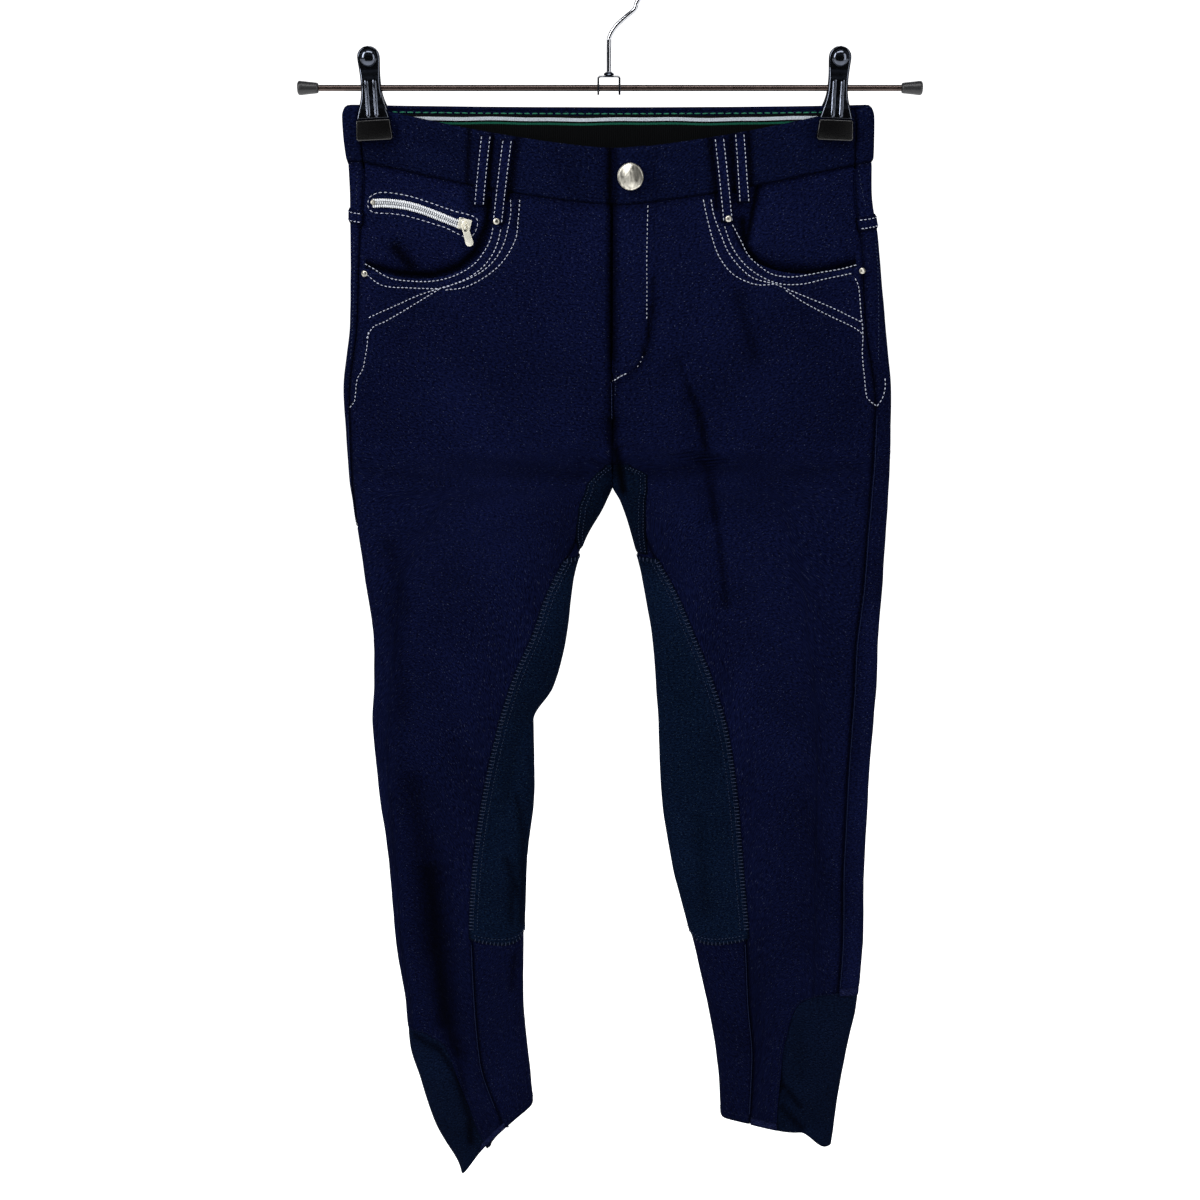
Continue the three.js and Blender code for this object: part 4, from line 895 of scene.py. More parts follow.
def mouth_line(leg):
    """The mouth from beyond the side seam, round its inner end and up to the band."""
    mouth = MOUTH[leg.name]
    middle = mix(mouth["outer"], mouth["inner"], 0.42)
    flat = np.linspace(1.25, 0, 24)[:, None]
    outer = np.concatenate([
        middle + (mouth["outer"] - middle) * flat,
        mouth["low"] + (mouth["side"] - mouth["low"]) * np.minimum(1, flat) ** 1.4,
    ], 1)
    angle = np.linspace(0.03, 1, 40)[:, None] * math.pi / 2
    reach = np.sin(angle) ** (2 / 2.2)
    bend = np.concatenate([
        middle + (mouth["inner"] - middle) * reach,
        -160 + (mouth["low"] + 160) * np.cos(angle).clip(0, 1) ** (2 / 2.6),
    ], 1)
    return np.concatenate([outer, bend, [[mouth["inner"], -118]]])


def cuff_frame_places(leg, u, v, grow=0.0, drop=0.0):
    """Places (a, z) on the ankle cuff; u runs from its back edge to its front edge."""
    top = CUFF_TOP[leg.name] + grow
    a = np.zeros(np.shape(u))
    for _ in range(4):
        low = hem_z(leg, a) - drop
        z = mix(top, low, v ** 1.6)
        if leg.side < 0:
            z = mix(z - 14 * np.abs(a) * (1 - v), z, v)
        down = np.maximum(0, CUFF_TOP[leg.name] - z)
        inset = smooth_at(CUFF, leg.name, down, "down") + grow
        a = mix(place_at_inset(leg, -inset, z), place_at_inset(leg, inset, z), u)
    return a, z


def cuff_line(leg):
    """The cuff's edge on the front of the leg: along its top and down to the hem."""
    a, z = cuff_frame_places(leg, np.linspace(0.5, 1, 16), np.zeros(16), 0.3, 6)
    a2, z2 = cuff_frame_places(leg, np.ones(60), np.linspace(0.002, 1, 60), 0.3, 6)
    line = leg_point(leg, np.concatenate([a, a2]), np.concatenate([z, z2]))[:, [0, 2]]
    line[0, 0] += leg.side * 6
    return line


def panel_cuts(leg, back):
    """Cuts for a leg panel: the ankle, and on the front the pocket mouth."""
    def on_leg(co, target):
        a = place_at_x(leg, target[:, 0], target[:, 1], back_of(co))
        return leg_frame(leg, a, target[:, 1])[0]

    def back_of(co):
        return co[:, 1] > 0

    ankle = cuff_line(leg)
    far = leg.side * 260
    below = np.concatenate([ankle, [[ankle[-1, 0], -960], [far, -960], [far, ankle[0, 1]]]])
    cuts = [(below, ankle, lambda co: co[:, 2] < -700, on_leg)]
    if not back:
        mouth = mouth_line(leg)
        above = np.concatenate([mouth, [[far, -118], [far, mouth[0, 1]]]])
        cuts.append((above, mouth, lambda co: co[:, 1] < 2, on_leg))
    return cuts


print("mouth low points:", [round(float(mouth_line(leg)[:, 1].min()), 1) for leg in (RIGHT, LEFT)])

# %% [markdown]
# ## The four leg panels
# Each leg is a front and a back. The back comes round the inside of the leg to a seam
# that lies on the front, as breeches are cut so that no seam rubs against the saddle.
# The rows follow the waist seam at the top and the slanted hem at the bottom.

# %% Leg panels


def panel_z(leg, a, v):
    z = mix(-135, HEM_Z, v)
    x = leg_point(leg, a, z)[..., 0]
    top_z = np.where(wrap_place(a) < 0, back_top_z(x), front_top_z(x))
    seam = top_z - BAND_HEIGHT + 1.8
    top = (seam + 135) * np.maximum(0, (z + 300) / 165)
    hem = (hem_z(leg, a) - HEM_Z) * np.maximum(0, (z + 740) / (HEM_Z + 740))
    return z + top + hem


def panel_places(leg, u, v, from_place, to_place):
    a = u
    for _ in range(4):
        z = panel_z(leg, a, v)
        a = mix(from_place(z), to_place(z), u)
    return a, z


def front_panel(leg):
    def places(u, v):
        return leg_frame(leg, *panel_places(
            leg, u, v,
            lambda z: nudge(leg, side_seam(leg, z), z, 0.15),
            lambda z: nudge(leg, front_seam(leg, z), z, -0.15),
        ))

    def frame_of(u, v):
        points, normals = places(u, v)
        if leg.side < 0:
            under = np.exp(-((points[:, 0] - CENTRE_X) / 5) ** 2) * (points[:, 2] > -268)
            points = points - normals * (1.3 * under)[:, None]
        return points, normals

    return grid_sheet(
        f"front_{leg.name}_cloth", 88, 330, frame_of, NAVY, f"front_{leg.name}",
        dips=[("left", 0.9, 1.6), ("right", 0.7, 1.4), ("bottom", 0.6, 1.2), ("top", 0.5, 3)],
        cut=panel_cuts(leg, False),
    )


def back_panel(leg):
    def frame_of(u, v):
        return leg_frame(leg, *panel_places(
            leg, u, v,
            lambda z: nudge(leg, side_seam(leg, z), z, -0.15),
            lambda z: np.where(
                z >= CROTCH_Z, nudge(leg, -1.0, z, 0.15), nudge(leg, front_seam(leg, z) - 2, z, 0.15),
            ),
        ))

    return grid_sheet(
        f"back_{leg.name}_cloth", 110, 330, frame_of, NAVY, f"back_{leg.name}",
        dips=[("left", 0.5, 1.2), ("right", 0.7, 1.4), ("bottom", 0.6, 1.2), ("top", 0.5, 3)],
        cut=panel_cuts(leg, True),
    )


for leg in (RIGHT, LEFT):
    for piece in (front_panel(leg), back_panel(leg)):
        print(piece.name, len(piece.data.polygons), "faces")

# %% [markdown]
# ## Pocket panels
# Behind each mouth lies the hip panel that the pocket bag hangs from. It is made the
# same way, one cloth thickness further in, and runs on under the front so that no
# gap shows along the curve.

# %% Pocket panels


def pocket_places(leg, u, v, grow=7.0, top=1.0):
    mouth = MOUTH[leg.name]
    inner = mouth["inner"] - leg.side * grow
    middle = mix(mouth["outer"], mouth["inner"], 0.42)
    z = np.full(np.shape(u), -180.0)
    spread = np.sin(u * math.pi / 2)
    for _ in range(4):
        side = leg_point(leg, side_seam(leg, z), z)[..., 0] - leg.side * 0.4
        x = mix(side, inner, spread)
        at = mouth["inner"] + (x - inner) * ((mouth["outer"] - mouth["inner"]) / (mouth["outer"] - inner))
        flat = mix(mouth["low"], mouth["side"], np.minimum(1, (at - middle) / (mouth["outer"] - middle)))
        reach = np.minimum(1, np.abs((at - middle) / (mouth["inner"] - middle)))
        bend = -160 + (mouth["low"] + 160) * (1 - reach ** 2.2) ** (1 / 2.6)
        low = np.where(leg.side * (at - middle) > 0, flat, bend) - grow
        high = front_top_z(x) - BAND_HEIGHT + top
        z = mix(high, np.minimum(low, high - 1), v)
    return place_at_x(leg, x, z), z


def pocket_frame(leg, u, v):
    """The panel falls back from the mouth's edge, as the opening gapes a little."""
    a, z = pocket_places(leg, u, v)
    points, normals = leg_frame(leg, a, z, plain=True, lift=-CLOTH - 0.15)
    mouth = mouth_line(leg)
    near = nearest_on(points[:, 0], points[:, 2], mouth)
    away = np.linalg.norm(near - points[:, [0, 2]], axis=1)
    open_part = smoothstep(-158, -176, z) * smoothstep(3, 22, np.abs(points[:, 0] - mouth[0, 0]))
    gape = 3.4 * np.exp(-((away / 5.5) ** 2)) * open_part
    return points - normals * gape[:, None], normals


for leg in (RIGHT, LEFT):
    grid_sheet(
        f"pocket_panel_{leg.name}_cloth", 90, 70, lambda u, v: pocket_frame(leg, u, v),
        NAVY, f"pocket_panel_{leg.name}", thick=1.2,
        painted_shading_table=POCKET_PAINTED_SHADING,
    )
print("pocket panels done")

# %% [markdown]
# ## Seam allowances
# Behind each seam lie the turned edges of the two panels. They also stop light from
# showing through the seam, as on the real garment. A narrow strip on the inside of
# the cloth stands for both edges.

# %% Seam allowances


def seam_strip(name, place, half_width=4.0):
    """A strip behind a seam; place(v) gives the seam's leg, places and heights."""
    def frame_of(u, v):
        leg, a, z = place(v)
        return leg_frame(leg, nudge(leg, a, z, (u - 0.5) * 2 * half_width), z, lift=-CLOTH - 0.3)

    return grid_sheet(name, 4, 160, frame_of, NAVY, None, thick=0.6)


for leg in (RIGHT, LEFT):
    def inner_place(v, leg=leg):
        low = np.full(v.shape, float(HEM_Z))
        for _ in range(5):
            low = hem_z(leg, front_seam(leg, low)) + 0.2
        z = mix(CROTCH_Z - 4, low, v)
        return leg, front_seam(leg, z), z

    def outer_place(v, leg=leg):
        z = mix(-137, CUFF_TOP[leg.name] - 2, v)
        return leg, side_seam(leg, z), z

    seam_strip(f"seam_allowance_{leg.name}_inner", inner_place)
    seam_strip(f"seam_allowance_{leg.name}_outer", outer_place)


def centre_strip(back, top, low):
    def frame_of(u, v):
        z = mix(top, low, v)
        x = CENTRE_X + (u - 0.5) * 11.5
        points, normals = body_frame(x, z, back=back, plain=True, lift=0)
        normals = np.broadcast_to([0.0, 1.0 if back else -1.0, 0.0], normals.shape)
        return points - normals * (CLOTH + 0.4), normals
    return frame_of


grid_sheet("seam_allowance_front_centre", 6, 60, centre_strip(False, -255, -334), NAVY, None,
           thick=0.6)
grid_sheet("seam_allowance_back_centre", 6, 120, centre_strip(True, -136, -334), NAVY, None,
           thick=0.6)
CROTCH_PATH = np.array([  # (y, z) from the front seam to the back seam
    (-13, -322), (-11.5, -328), (-9, -334), (-5.6, -338), (-2.2, -341.5), (0, -344),
    (2.8, -341.5), (5.6, -337.5), (7.2, -333), (9.5, -327), (11.5, -321),
], float)
CROTCH_STRIP_WIDTH = 11.5
CROTCH_MIDDLE_Z = -322


def along_path(path, t):
    """Both coordinates of the points that lie a share t of the way down a list of points."""
    at = t * (len(path) - 1)
    return (np.interp(at, np.arange(len(path)), path[:, k]) for k in (0, 1))


def crotch_strip(u, v):
    """The seam's turned edges run on under the crotch, from the front to the back."""
    y, z = along_path(CROTCH_PATH, v)
    outward = np.stack([np.zeros(len(y)), y, z - CROTCH_MIDDLE_Z], -1)
    outward /= np.linalg.norm(outward, axis=1, keepdims=True) + 1e-9
    return np.stack([CENTRE_X + (u - 0.5) * CROTCH_STRIP_WIDTH, y, z], -1), outward


grid_sheet("seam_allowance_crotch", 6, 40, crotch_strip, NAVY, None, thick=0.6)
print("seam allowances done")

# %% [markdown]
# ## Ankle cuffs and hem strips
# The outer ankle is a slate stretch panel let into the leg, so it lies a little lower
# than the cloth round it. It sags in two soft folds of its own. A short turned strip
# finishes the hem beside the seam, and the end of the side seam's turned edge shows
# above the left cuff.

# %% Cuffs and hem strips
CUFF_FOLDS = table(["back", "x1", "z1", "x2", "z2", "wide", "deep"], [
    [0, 132, -826, 141, -846, 5, 1.5],
    [0, 141, -846, 156, -872, 5, 1.9],
    [0, 132, -838, 140, -855, 3.5, -0.7],
    [0, 150, -780, 148, -822, 9, 0.7],
    [0, -131, -806, -120, -832, 7, 1.4],
    [0, -119, -884, -106, -874, 5, 1.2],
    [1, 140, -800, 168, -850, 8, 1.2],
    [1, -140, -840, -110, -870, 8, 1.2],
])


CUFF_TIP_RISE = {"right": 2.2, "left": 0}
HEM_STRIP_ENDS = {"right": (-99.5, -79.5), "left": (133, 112)}
HEM_STRIP_HEIGHT = 6.8
STRIP_LIFT = 0.55


def cuff_frame(leg, u, v):
    a, z = cuff_frame_places(leg, u, v ** 0.85, 1.6)
    tip = CUFF_TIP_RISE[leg.name] * v ** 4 * np.exp(-((a / 0.10) ** 2))
    points, normals = leg_frame(leg, a, z + tip)
    soft = trough(CUFF_FOLDS, wrap_place(a) < 0, points[:, 0], z)
    return points - normals * (soft + 0.45)[:, None], normals


def hem_strip(leg, u, v):
    """The turned hem; its height is found in steps, since the hem slants."""
    x = mix(*HEM_STRIP_ENDS[leg.name], u)
    low = np.full(x.shape, float(HEM_Z))
    for _ in range(5):
        low = hem_z(leg, place_at_x(leg, x, low)) + 0.3
    z = low + (1 - v) * HEM_STRIP_HEIGHT
    return leg_frame(leg, place_at_x(leg, x, z), z, lift=STRIP_LIFT)


def cuff_top_strip(u, v):
    """The end of the turned edge that shows above the left cuff."""
    z = mix(-745.5, -752.5, v) - 2.5 * u
    inset = mix(smooth_at(SIDE_SEAM, "left", z) - 1.2, 0.8, u)
    return leg_frame(LEFT, place_at_inset(LEFT, inset, z), z, lift=STRIP_LIFT)


for leg in (RIGHT, LEFT):
    grid_sheet(
        f"cuff_{leg.name}_knit", 60, 70, lambda u, v: cuff_frame(leg, u, v), CUFF_SLATE,
        f"cuff_{leg.name}", thick=1.2, painted_shading_table=CUFF_PAINTED_SHADING,
    )
    grid_sheet(
        f"hem_facing_{leg.name}_cloth", 28, 14, lambda u, v: hem_strip(leg, u, v), TURNED_NAVY,
        f"hem_facing_{leg.name}", thick=0.5,
        dips=[("left", 0.3, 0.6), ("right", 0.3, 0.6), ("top", 0.4, 0.6), ("bottom", 0.4, 0.6)],
    )
grid_sheet("cuff_facing_left_cloth", 20, 12, cuff_top_strip, TURNED_NAVY, None, thick=0.5,
           dips=[("top", 0.4, 0.6), ("bottom", 0.4, 0.6)])
print("cuffs done")

# %% [markdown]
# ## Knee and thigh patches
# Slate patches with a suede-like nap cover the inside of each leg, where it meets the
# saddle. They are laid on the leg panels, so they use the same surface, raised by
# their own thickness, with the edge pressed down by its stitching.

# %% Patches


def knee_places(leg, u, v):
    z0 = mix(-401, -701, v)
    round_low = smoothstep(0.9, 1.0, v) * 7 * np.sin(math.pi * np.minimum(1, u * 2.2)) ** 0.8
    z = z0 - round_low
    x = smooth_at(FRONT_SEAM, leg.name, z) + leg.side * 2.5
    front = place_at_x(leg, x, z)
    return mix(front, 2 - front, u), z


def gusset_places(leg, u, v):
    z = mix(-333, -396 if leg.side < 0 else -399, v)
    inset = smooth_at(GUSSET, leg.name, z)
    front = place_at_x(leg, inner_edge(leg, z) + leg.side * inset, z)
    wrap = smoothstep(CROTCH_Z - 1, CROTCH_Z - 26, z)
    ahead = nudge(leg, np.ones(z.shape), z, -1)
    end = np.where(z > CROTCH_Z, ahead, nudge(leg, mix(1, 2 - front, wrap), z, -1))
    return mix(front, np.maximum(front + 0.01, end), u), z


for leg in (RIGHT, LEFT):
    grid_sheet(
        f"knee_patch_{leg.name}_suede", 60, 180,
        lambda u, v: leg_frame(leg, *knee_places(leg, u, v), lift=1.15), SLATE,
        f"knee_patch_{leg.name}", thick=1.0,
        dips=[("left", 0.7, 1.3), ("right", 0.7, 1.3), ("top", 0.7, 1.3), ("bottom", 0.7, 1.3)],
        painted_shading_table=PATCH_PAINTED_SHADING,
    )
    grid_sheet(
        f"thigh_patch_{leg.name}_suede", 30, 44,
        lambda u, v: leg_frame(leg, *gusset_places(leg, u, v), lift=1.0), SLATE,
        f"thigh_patch_{leg.name}", thick=0.9,
        dips=[("left", 0.6, 1.3), ("bottom", 0.5, 1.3)], painted_shading_table=PATCH_PAINTED_SHADING,
    )
print("patches done")

# %% [markdown]
# ## The waistband
# The band is a folded strip: puffed along its middle and pulled in at the seam below
# it and at the top edge. The left end laps over the right, which steps inwards. The
# fly shield is the strip of cloth that shows in the gap of the fly.

# %% Waistband


def puff(v):
    """The soft roundness of a folded band from its top edge to its seam."""
    return 0.55 * np.sin(math.pi * v) ** 0.7 - 1.1 * np.exp(-((v / 0.03) ** 2)) \
        - 0.8 * np.exp(-(((1 - v) / 0.03) ** 2))


def band_places(leg, u, v, start, end):
    a, z = u, np.full(np.shape(u), -110.0)
    for _ in range(4):
        x = leg_point(leg, a, z)[..., 0]
        top = np.where(wrap_place(a) < 0, back_top_z(x), front_top_z(x))
        z = top - v * BAND_HEIGHT
        a = mix(start(z), end, u)
    return a, z


def left_band(u, v):
    a, z = band_places(LEFT, u, v, lambda z: nudge(LEFT, side_seam(LEFT, z), z, 0.15), 0.9985)
    return leg_frame(LEFT, a, z, lift=BAND_OUT + puff(v))


def right_band(u, v):
    z = np.full(np.shape(u), -110.0)
    for _ in range(4):
        side = leg_point(RIGHT, side_seam(RIGHT, z), z)[..., 0] + 0.25
        x = mix(side, 24, 1 - (1 - u) ** 1.25)
        z = front_top_z(x) - v * BAND_HEIGHT
    step = smoothstep(-10, CENTRE_X - 2, x)
    return body_frame(x, z, plain=True, lift=BAND_OUT + puff(v) * (1 - step) - 1.9 * step)


def back_band(u, v):
    points, normals = np.zeros((len(u), 3)), np.zeros((len(u), 3))
    for leg, part in ((RIGHT, u < 0.5), (LEFT, u >= 0.5)):
        along = u[part] * 2 if leg is RIGHT else 2 - u[part] * 2
        a, z = band_places(leg, along, v[part], lambda z: nudge(leg, side_seam(leg, z), z, -0.15), -0.9999)
        points[part], normals[part] = leg_frame(leg, a, z, lift=BAND_OUT + puff(v[part]))
    return points, normals


for name, columns, form, node in (
    ("waistband_left_cloth", 110, left_band, "waistband_front_left"),
    ("waistband_right_cloth", 130, right_band, "waistband_front_right"),
    ("waistband_back_cloth", 200, back_band, "waistband_back"),
):
    grid_sheet(
        name, columns, 36, form, BAND_NAVY, node, thick=BAND_OUT + BAND_IN - 0.3,
        dips=[("left", 0.6, 1.0), ("right", 0.6, 1.0), ("bottom", 0.1, 0.9)],
        painted_shading_table=BAND_PAINTED_SHADING,
    )


def fly_shield(u, v):
    x = mix(-16, 22, u)
    z = mix(front_top_z(x) - BAND_HEIGHT, -262, v)
    return body_frame(x, z, plain=True, lift=-CLOTH - 0.6)


grid_sheet("fly_shield_cloth", 24, 60, fly_shield, NAVY, "fly_shield", thick=1.0)
print("waistband done")

# %% [markdown]
# ## Inner elastic
# The striped elastic is sewn inside the back of the waistband and shows above the
# lower front edge. Its top edge waves a little, as stitched elastic does.

# %% Waist elastic


def elastic_form(u, v):
    x = mix(-153, 153, u)
    wave = 0.25 * np.sin(x / 15) + 0.15 * np.sin(x / 6.3 + 1)
    z = back_top_z(x) - 4.8 + wave * (1 - v) - v * 30
    return body_frame(x, z, back=True, lift=-BAND_IN - 0.35 + 0.25 * np.sin(x / 9) * v)


elastic = grid_sheet("waist_elastic_web", 150, 40, elastic_form, ELASTIC, "waist_elastic",
                     thick=0.9)
print("elastic:", len(elastic.data.polygons), "faces")

# %% [markdown]
# ## Belt loops and side tabs
# Belt loops are narrow strips with both edges turned in. They bow out over the band
# and are caught at their ends. The pair on each side of the front reaches below the
# band, the inner one as far as the rivet.

# %% Loops and tabs
LOOPS = table(["x1", "z1", "x2", "z2", "back"], [
    [-77.5, -114, -83, -159, 0],
    [-64, -116.5, -71.5, -170, 0],
    [70, -115.5, 77, -169, 0],
    [83, -113, 87, -157, 0],
    [-92, -99.5, -94, -140, 1],
    [3, -100.5, 3, -141, 1],
    [98, -99.5, 100, -140, 1],
])
LOOP_NAMES = ["front_right_outer", "front_right_inner", "front_left_inner", "front_left_outer",
              "back_right", "back_centre", "back_left"]
LOOP_WIDTH = 8.6


def loop_frame(k, u, v, lift=0.0):
    x = mix(LOOPS["x1"][k], LOOPS["x2"][k], v) + (u - 0.5) * LOOP_WIDTH
    z = mix(LOOPS["z1"][k], LOOPS["z2"][k], v)
    bow = BAND_OUT + 1.8 + 0.9 * np.sin(math.pi * np.clip(v, 0, 1)) ** 0.6
    return body_frame(x, z, back=bool(LOOPS["back"][k]), lift=bow + lift)


for k, name in enumerate(LOOP_NAMES):
    grid_sheet(
        f"loop_{name}_cloth", 12, 44, lambda u, v: loop_frame(k, u, v), NAVY, f"loop_{name}",
        thick=1.3,
        dips=[("left", 0.7, 0.9), ("right", 0.7, 0.9), ("top", 1.0, 1.2), ("bottom", 1.0, 1.2)],
    )
TABS = {"right": (-167, 9, -6), "left": (-171, 13, -6)}


def tab_frame(leg, u, v, lift=0.0):
    middle, start, end = TABS[leg.name]
    z = mix(middle + 4.5, middle - 4.5, v) + 2.6 * (u - 0.4)
    a = mix(place_at_inset(leg, np.full(u.shape, start), z), place_at_inset(leg, np.full(u.shape, end), z), u)
    return leg_frame(leg, a, z, lift=1.1 + lift)


for leg in (RIGHT, LEFT):
    grid_sheet(
        f"side_tab_{leg.name}_cloth", 20, 12, lambda u, v: tab_frame(leg, u, v), NAVY,
        f"side_tab_{leg.name}", thick=0.9,
        dips=[("top", 0.6, 1), ("bottom", 0.6, 1), ("left", 0.6, 1), ("right", 0.6, 1)],
    )
print("loops:", len(LOOP_NAMES))

# %% [markdown]
# ## Sewing by the stitch
# Top-stitching is a row of short thread loops, each a thin bead of thread that stands
# a little out of the cloth. One low sphere, stretched to a stitch, is set down again
# and again along each row. A dashed texture would be quicker, but it would look flat
# from the side and would be lost in an exported mesh.

# %% Stitch maker
rng = np.random.RandomState(11)


def curve_through(points, per=12):
    """A smooth line through points (Catmull-Rom)."""
    p = np.array(points, float)
    p = np.vstack([2 * p[0] - p[1], p, 2 * p[-1] - p[-2]])
    t = np.linspace(0, 1, per, endpoint=False)[:, None]
    parts = []
    for a, b, c, d in zip(p, p[1:], p[2:], p[3:]):
        parts.append(0.5 * (
            2 * b + (c - a) * t + (2 * a - 5 * b + 4 * c - d) * t ** 2
            + (3 * b - a - 3 * c + d) * t ** 3
        ))
    return np.concatenate([*parts, p[-2:-1]])


def row_on_body(line, lift, back=False, plain=False):
    """A sewn row given as (x, z) points across the body."""
    smooth = curve_through(line)
    return body_frame(smooth[:, 0], smooth[:, 1], back, plain, lift)


def sew(name, rows, material, node=None):
    """Rows of stitches: each row is (points, normals, pitch, length, width, turn)."""
    bead = bmesh.new()
    bmesh.ops.create_uvsphere(bead, u_segments=6, v_segments=4, radius=1)
    stitch = bpy.data.meshes.new("stitch")
    bead.to_mesh(stitch)
    bead.free()
    shape = np.array([v.co for v in stitch.vertices])
    bm = bmesh.new()
    count = 0
    for points, normals, pitch, length, width, turn in rows:
        s = np.concatenate([[0], np.cumsum(np.linalg.norm(np.diff(points, axis=0), axis=1))])
        number = max(1, int(s[-1] / pitch))
        at = (np.arange(number) + 0.5) * s[-1] / number

        def along(values, where):
            return np.stack([np.interp(where, s, values[:, k]) for k in range(3)], -1)

        tangent = along(points, at + 0.6) - along(points, at - 0.6)
        tangent /= np.linalg.norm(tangent, axis=1, keepdims=True) + 1e-9
        normal = along(normals, at)
        side = np.cross(normal, tangent)
        angle = turn + rng.uniform(-0.06, 0.06, number)
        cos, sin = np.cos(angle)[:, None], np.sin(angle)[:, None]
        run, across = tangent * cos + side * sin, side * cos - tangent * sin
        size = rng.uniform(0.92, 1.08, number)[:, None] * length / 2
        centre = along(points, at)
        for i in range(number):
            axes = np.stack([run[i] * size[i], across[i] * width / 2, normal[i] * 0.34])
            stitch.vertices.foreach_set("co", ((shape @ axes + centre[i]) * MM).ravel())
            bm.from_mesh(stitch)
        count += number
    print(name, count, "stitches")
    return finish_mesh(bm, name, material, node)


print("stitch maker ready")

# %% [markdown]
# ## White top-stitching
# The white rows follow the pocket mouths, run on in an arc to the waist, cross below
# the pocket and fall away to the side seam, where they turn down. Each row here is a
# few points that a tape measure would give: distance from the centre and height.

# %% Pocket and yoke rows
POCKET_ROWS = [
    [(-160, -197), (-154, -200), (-143, -206), (-130, -207.5), (-117, -207.5), (-106, -205.5), (-96, -201.5),
     (-87, -195.5), (-80.5, -187.5), (-76.5, -180), (-74.5, -172)],
    [(-159, -204), (-148, -211), (-130, -212), (-111, -212), (-101, -209), (-90, -204), (-81, -197),
     (-75, -189), (-71.5, -181), (-69.5, -173)],
    [(-63, -154), (-63, -163), (-65, -173), (-68, -183), (-74, -193), (-83, -201), (-95, -207),
     (-109, -211.5)],
    [(-57, -154), (-58, -165), (-60, -179), (-67, -192), (-76, -201), (-87, -208), (-96, -211.5),
     (-107, -213)],
    [(-111, -212), (-125, -217), (-138, -223), (-151, -229), (-159, -233)],
    [(-110, -212), (-123, -220), (-136, -228), (-148, -235), (-156, -239), (-161, -247)],
    [(80, -170), (85, -179), (91, -190), (99, -197.5), (107, -202.5), (117, -204.5), (126, -204), (138, -202),
     (152, -200), (163, -197.5)],
    [(75, -171), (80, -184), (87, -194), (95, -201), (106, -207), (117, -209.5), (129, -209), (143, -206),
     (160, -203)],
    [(61, -154), (64, -167), (69, -184), (74, -194), (81, -202), (90, -207), (99, -209.5), (109, -209)],
    [(66, -154), (68, -164), (73, -177), (78, -188), (86, -198), (95, -205), (109, -209)],
    [(109, -209), (121, -214), (133, -219), (147, -225), (159, -231), (168, -235.5)],
    [(116, -213), (128, -221), (139, -227), (151, -233), (163, -239), (169, -243.5)],
    [(162, -206), (165, -213), (167, -228), (169, -242), (169.5, -258), (171.5, -272), (173.5, -285),
     (176, -289), (181, -293)],
    [(-159.2, -242), (-160.2, -249), (-161.8, -258), (-164.2, -267.6), (-168.2, -274.6), (-169.8, -284.3),
     (-171, -290), (-174.6, -295)],
    [(181, -293.5), (184.8, -288), (186.4, -281), (186, -274)],
]
SIDE_ROWS = [
    [(162, -137), (164.5, -149), (167.6, -161)], [(157.6, -142), (158.4, -147)],
    [(175, -184), (177, -196), (178.6, -214), (179.6, -232), (180.8, -262)],
    [(-162.6, -138), (-163.4, -147), (-164.2, -160)],
    [(-166.5, -180), (-167.5, -206), (-170, -234), (-172.5, -262)],
    [(2.4, -279), (2.4, -300)], [(5.4, -265), (4.8, -284)],
]
PITCH, DASH, THREAD = 2.75, 2.0, 0.66
white_rows = [
    (*row_on_body(line, 0.22, plain=abs(line[0][0]) > 60), PITCH, DASH, THREAD, 0) for line in POCKET_ROWS
]
dim_rows = [(*row_on_body(line, 0.12), 2.6, 1.2, 0.45, 0) for line in SIDE_ROWS]
sew("side_seam_stitching", dim_rows, SLATE_THREAD)
print("pocket rows:", len(white_rows))

# %% [markdown]
# ## Fly, loops, tabs and zip surround
# The fly's J shaped row stops being visible where the front folds over it. Each belt
# loop has a row along both edges, and the zip has one all the way round it.

# %% Other white rows
FLY_ROW = [(25.4, -157), (25.1, -170), (24.9, -191), (25.2, -210), (25.3, -232)]
FLY_END = [(12.4, -267.6), (8.5, -269.6), (5.4, -271.4), (2.4, -273.4)]
FLY_TICKS = [(23.0, -255), (21.5, -260), (18.6, -264.4)]
white_rows.append((*row_on_body(FLY_ROW, 0.25), 2.8, 1.7, 0.55, 0))
white_rows.append((*row_on_body(FLY_END, 0.25), 2.4, 2.3, 0.7, 0))
white_rows.append((*row_on_body(FLY_TICKS, 0.25), 3.2, 1.2, 0.5, 0))
for k in range(len(LOOP_NAMES)):
    for off in (0.19, 0.81):
        v = np.linspace(0.01, 0.985, 40)
        white_rows.append((*loop_frame(k, np.full(40, off), v, 0.22), 2.65, 1.9, 0.6, 0))
for leg in (RIGHT, LEFT):
    for v_edge in (0.2, 0.8):
        u = np.linspace(0.03, 0.97, 24)
        white_rows.append((*tab_frame(leg, u, np.full(24, v_edge), 0.25), 2.7, 2.0, 0.6, 0))
ZIP_SURROUND = [
    (-153.5, -153.2), (-150, -151.8), (-145, -151.4), (-137, -152.2), (-128, -153.8), (-117, -156.9),
    (-106, -160.4), (-99, -162.5), (-92, -164.1), (-87, -165.7), (-84.9, -168), (-85.2, -172),
    (-87.5, -176.8), (-91, -179.0), (-94, -178.4), (-106, -172.8), (-112.5, -170.9), (-119, -169),
    (-130, -166.2), (-140, -164.7), (-150, -164.4), (-154.5, -163.5), (-156.6, -161), (-156.7, -157.5),
    (-155.6, -154.8), (-153.5, -153.2),
]
white_rows.append((*row_on_body(ZIP_SURROUND, -CLOTH + 0.05, plain=True), 3.5, 2.5, 0.62, 0))
sew("white_topstitching", white_rows, WHITE_THREAD)

